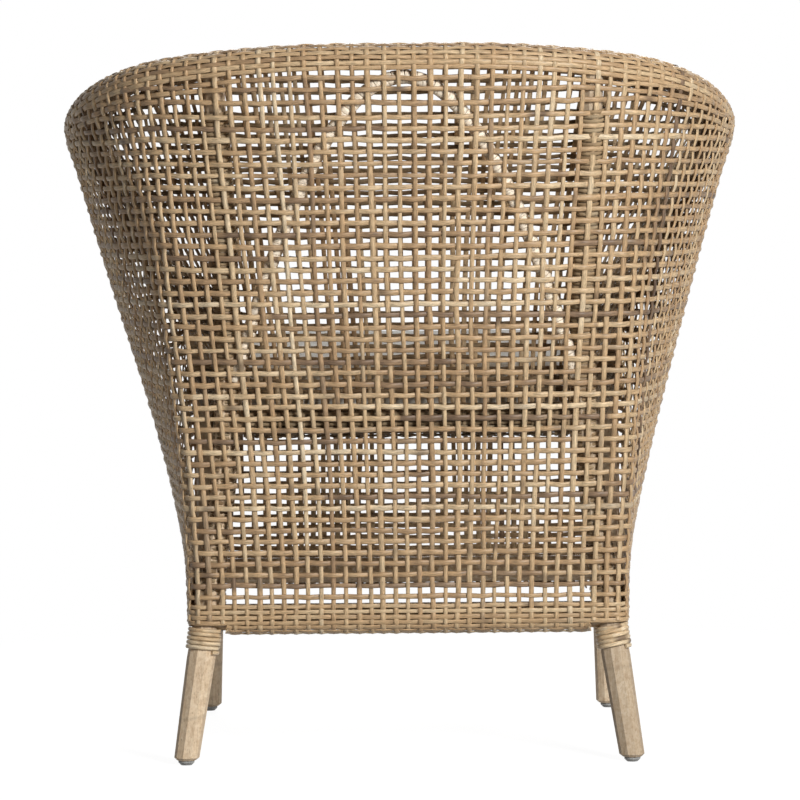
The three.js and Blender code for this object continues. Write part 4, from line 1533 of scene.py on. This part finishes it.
def pole_material(name, light, dark, stretch, roughness, lift=1.0):
    """Rattan with a grain along the pole, facets, mottles, node rings and flecks."""
    shader = Shader(name)
    times, plus, less = shader.times, shader.plus, shader.less
    light, dark, glow, bare, blotched = [
        tone(*[part * lift for part in parts])
        for parts in (light, dark, glow_tone, bare_tone, blotch_tone)
    ]
    where, axes = shader.object_place()
    x, _, z = axes
    scaled = [times(axis, size) for axis, size in zip(axes, stretch)]
    grain = shader.noise(shader.vector(*scaled), 1.0, 5.0, 0.62)
    facet_place = shader.vector(*[times(value, facet_stretch) for value in scaled])
    facets = shader.noise(facet_place, 1.0, 1.0)
    colour = shader.ramp(grain, [(0.30, dark), (0.52, light), (0.75, glow)])

    mottle = times(less(shader.noise(where, 210.0, 4.0, 0.6), 0.5), 3.4)
    colour = shader.mix(shader.between(mottle, 0.0, 0.8), colour, bare)
    colour = shader.mix(shader.between(times(mottle, -1.0), 0.0, 0.7), colour, dark)
    blotch = shader.noise(where, 34.0, 3.0)
    colour = shader.mix(times(less(blotch, 0.3), 0.55), colour, blotched)

    climb = times(plus(z, times(x, ring_slant)), rings_per_metre)
    ring = shader.math("ABSOLUTE", less(shader.math("FRACT", climb), ring_place))
    ring = shader.math("MAXIMUM", less(1.0, times(ring, ring_sharpness)), 0.0)
    colour = shader.mix(times(ring, 0.22), colour, ring_tone)
    fleck_place = shader.vector(*[times(axis, size) for axis, size in zip(axes, fleck_stretch)])
    flecks = shader.noise(fleck_place, 1.0, 2.0)
    colour = shader.mix(shader.past(flecks, 0.6, 4.0, 0.55), colour, fleck_tone)
    shader.bump(plus(times(grain, 0.5), times(facets, 2.2)), 0.5, 0.0015)
    return shader.finish(colour, shader.math("MULTIPLY_ADD", grain, 0.3, roughness), 0.35)


shaved_grain, upright_grain, rail_grain = (420, 420, 34), (300, 300, 26), (30, 30, 300)
# The rear legs' lifts, 0.94 and 1.10, are painted light and shade; the front legs share one lift.
shaved_poles = {
    name: pole_material("shaved_" + name, (212, 190, 160), (184, 158, 128), shaved_grain, 0.45, lift)
    for name, lift in (
        ("rear_pole_left", 0.94), ("rear_pole_right", 1.10),
        ("front_pole_left", 1.06), ("front_pole_right", 1.06),
    )
}
inner_pole = pole_material("rattan_pole", (176, 148, 112), (132, 104, 76), upright_grain, 0.42)
# Rails and slats keep their skin; their darker tones are partly painted shade for the hollow under
# the weave.
cross_pole = pole_material("rattan_rail", (172, 144, 108), (130, 102, 74), rail_grain, 0.42)


def glide_material():
    """Dull grey, a little cloudy."""
    shader = Shader("grey_glide")
    where, _ = shader.object_place()
    cloud = shader.noise(where, 180.0, 3.0)
    colour = shader.ramp(cloud, [(0.3, tone(138, 138, 136)), (0.7, tone(166, 166, 163))])
    shader.bump(cloud, 0.2, 0.0004)
    return shader.finish(colour, 0.55, 0.4)


grey_glide = glide_material()
dressed = 0
for name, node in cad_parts.items():
    if name in shaved_poles:
        paint = shaved_poles[name]
    elif "glide" in name:
        paint = grey_glide
    elif "rail" in name or "slat" in name:
        paint = cross_pole
    else:
        paint = inner_pole
    for place in node.material_slots:
        place.material = paint
        dressed += 1
print("materials on", dressed, "packed solids")
core_size = rim_pole_diameter - 2 * core_slimmer
weave_piece(
    "rim_core", core, core_size, core_size, 14, inner_pole, ["rim_pole"]
)

# %% [markdown]
# ## The seat cushion
# The loose cushion is a boxed pad in pale linen: flat below where it lies on the slats, crowned on
# top, with a cord sewn into its upper and lower seams. Its solid is taken a little smaller, made
# an even mesh, and blown up a little as cloth, so that it bulges between the seams. Only what
# swells outward is kept, and it is evened out from point to point, so that the cover has no
# ripples. No point may move far, and the underside stays on the slats. The cords are laid on
# afterwards.

# %% Cushion sizes
cushion_low, cushion_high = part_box("seat_cushion")
pad_share, pad_height_share, pad_rise = 0.985, 0.93, 0.0025
cushion_grid = 0.006
cushion_swell = 0.007
cushion_frames = 20
cushion_pressure = 4.0
evening_rounds = 60
pad_floor = 0.0008
edge_drop = 0.013
cushion_top_edge = cushion_high.z - edge_drop
print("cushion", [round(v, 3) for v in (cushion_high - cushion_low)])


# %% Linen
thread_stretch, slub_stretch = 900.0, 24.0
weave_turn = 6283.0
linen_slant = 0.7


def linen_material(name, light, dark):
    """Plain woven linen with slubs both ways, that follows the sides of the pad as well."""
    shader = Shader(name)
    times, plus = shader.times, shader.plus
    where, axes = shader.object_place()
    x, y, z = axes

    def slubs(*stretch):
        place = shader.vector(*[times(axis, size) for axis, size in zip(axes, stretch)])
        return shader.noise(place, 1.0, 2.0)

    across = slubs(slub_stretch, thread_stretch, thread_stretch)
    along = slubs(thread_stretch, slub_stretch, thread_stretch)
    threads = times(plus(across, along), 0.5)
    warp = shader.math("SINE", times(plus(x, times(z, linen_slant)), weave_turn))
    weft = shader.math("SINE", times(plus(y, z), weave_turn))
    level = shader.math("MULTIPLY_ADD", times(warp, weft), 0.06, threads)
    colour = shader.ramp(level, [(0.36, dark), (0.64, light)])
    cloud = shader.noise(where, 9.0, 3.0)
    colour = shader.mix(times(cloud, 0.22), colour, dark)
    shader.bump(level, 0.35, 0.0006)
    shader.surface.inputs["Sheen Weight"].default_value = 0.25
    shader.surface.inputs["Sheen Roughness"].default_value = 0.5
    return shader.finish(colour, 0.85, 0.2)


linen = linen_material("pale_linen", tone(222, 218, 208), tone(190, 186, 176))


# %% The pad, blown up as cloth
def cushion_pad():
    """The pad as blown, and the places and directions of its points before that."""
    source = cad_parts["seat_cushion"].data
    shape = bmesh.new()
    shape.from_mesh(source)
    bmesh.ops.remove_doubles(shape, verts=shape.verts, dist=1e-5)
    bmesh.ops.recalc_face_normals(shape, faces=shape.faces)
    middle = (cushion_low + cushion_high) / 2
    for corner in shape.verts:
        corner.co.x = middle.x + (corner.co.x - middle.x) * pad_share
        corner.co.y = middle.y + (corner.co.y - middle.y) * pad_share
        above = (corner.co.z - cushion_low.z) * pad_height_share
        corner.co.z = cushion_low.z + pad_rise + above
    mesh = bpy.data.meshes.new("seat_pad")
    shape.to_mesh(mesh)
    shape.free()
    pad = bpy.data.objects.new("seat_pad", mesh)
    scene.collection.objects.link(pad)
    grid = pad.modifiers.new("grid", "REMESH")
    grid.mode = "VOXEL"
    grid.voxel_size = cushion_grid
    even = finished(pad)
    pad.modifiers.clear()
    pad.data = even
    still = np.array([v.co for v in even.vertices])
    normals = np.array([v.normal for v in even.vertices])
    cloth = pad.modifiers.new("cloth", "CLOTH")
    cloth.settings.use_pressure = True
    cloth.settings.uniform_pressure_force = cushion_pressure
    cloth.settings.effector_weights.gravity = 0.0
    cloth.settings.quality = 5
    cloth.settings.tension_stiffness = 25
    cloth.settings.compression_stiffness = 25
    cloth.settings.bending_stiffness = 0.5
    cloth.point_cache.frame_start = 1
    cloth.point_cache.frame_end = cushion_frames
    for moment in range(1, cushion_frames + 1):
        scene.frame_set(moment)
    blown = finished(pad)
    pad.modifiers.clear()
    pad.data = blown
    scene.frame_set(1)
    return pad, still, normals


pad, still, normals = cushion_pad()
moved = np.array([v.co for v in pad.data.vertices])
swelling = np.maximum(np.sum((moved - still) * normals, axis=1), 0)
step = normals * swelling[:, None]
ends = np.array([edge.vertices[:] for edge in pad.data.edges])
neighbours = np.bincount(ends.ravel(), minlength=len(step))[:, None]
for _ in range(evening_rounds):
    total = np.zeros_like(step)
    np.add.at(total, ends[:, 0], step[ends[:, 1]])
    np.add.at(total, ends[:, 1], step[ends[:, 0]])
    step = 0.5 * step + 0.5 * total / neighbours
far = np.linalg.norm(step, axis=1)
capped = still + step * np.minimum(1, cushion_swell / np.maximum(far, 1e-9))[:, None]
capped[:, 2] = np.maximum(capped[:, 2], cushion_low.z + pad_floor)
pad.data.vertices.foreach_set("co", capped.ravel())
pad.data.update()
print("pad swells by up to", round(float(far.max()) * 1000, 1), "mm, kept to", cushion_swell * 1000)

# %% Finer skin, soft creases, and its place on the chair
finer = pad.modifiers.new("finer", "SUBSURF")
finer.levels = finer.render_levels = 1
smooth_pad = finished(pad)
pad.modifiers.clear()
pad.data = smooth_pad
smooth_pad.name = "seat_pad"
points = np.array([v.co for v in smooth_pad.vertices])
top_side = smooth_step(points[:, 2], cushion_top_edge - 0.01, cushion_top_edge + 0.004)
creases = 0.0004 * np.sin(points[:, 0] * 61 + 2.3 * np.sin(points[:, 1] * 17))
creases += 0.0003 * np.sin(points[:, 1] * 83 + 1.9 * np.sin(points[:, 0] * 23 + 1.0))
points[:, 2] += creases * top_side
smooth_pad.vertices.foreach_set("co", points.ravel())
smooth_pad.shade_smooth()
smooth_pad.materials.clear()
smooth_pad.materials.append(linen)
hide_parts("seat_cushion")
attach(pad, "cushion")
print("pad", len(smooth_pad.polygons), "faces")

# %% Sewn cords along the two seams
cord_size = 0.0048
cord_out = 0.0008
low_seam, high_seam = 0.006, 0.004
cord_samples = 360
far_side = 0.6
pad_tree = BVHTree.FromPolygons(
    [v.co for v in smooth_pad.vertices], [p.vertices[:] for p in smooth_pad.polygons]
)
cords = Bundle()
seam_middle = (cushion_low + cushion_high) / 2
for height in (cushion_low.z + low_seam, cushion_top_edge - high_seam):
    path, away = [], []
    for angle in np.linspace(0, 2 * math.pi, cord_samples + 1)[:-1]:
        way = Vector((math.cos(angle), math.sin(angle), 0))
        start = Vector((seam_middle.x, seam_middle.y, height)) + way * far_side
        hit, normal, _, _ = pad_tree.ray_cast(start, -way)
        path.append(hit)
        away.append(normal)
    path, away = np.array(path), np.array(away)
    for _ in range(3):
        path = (np.roll(path, 1, axis=0) + 2 * path + np.roll(path, -1, axis=0)) / 4
    path[:, :2] += unit(away[:, :2]) * cord_out
    cords.add(path, unit(away), 1.0, 0.3, 1.0, True)
cushion_cords = solid_strands("cushion_cords", cords, cord_size, cord_size, 10, linen)
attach(cushion_cords, "cushion")
print("cushion cords", len(cushion_cords.data.polygons), "faces")
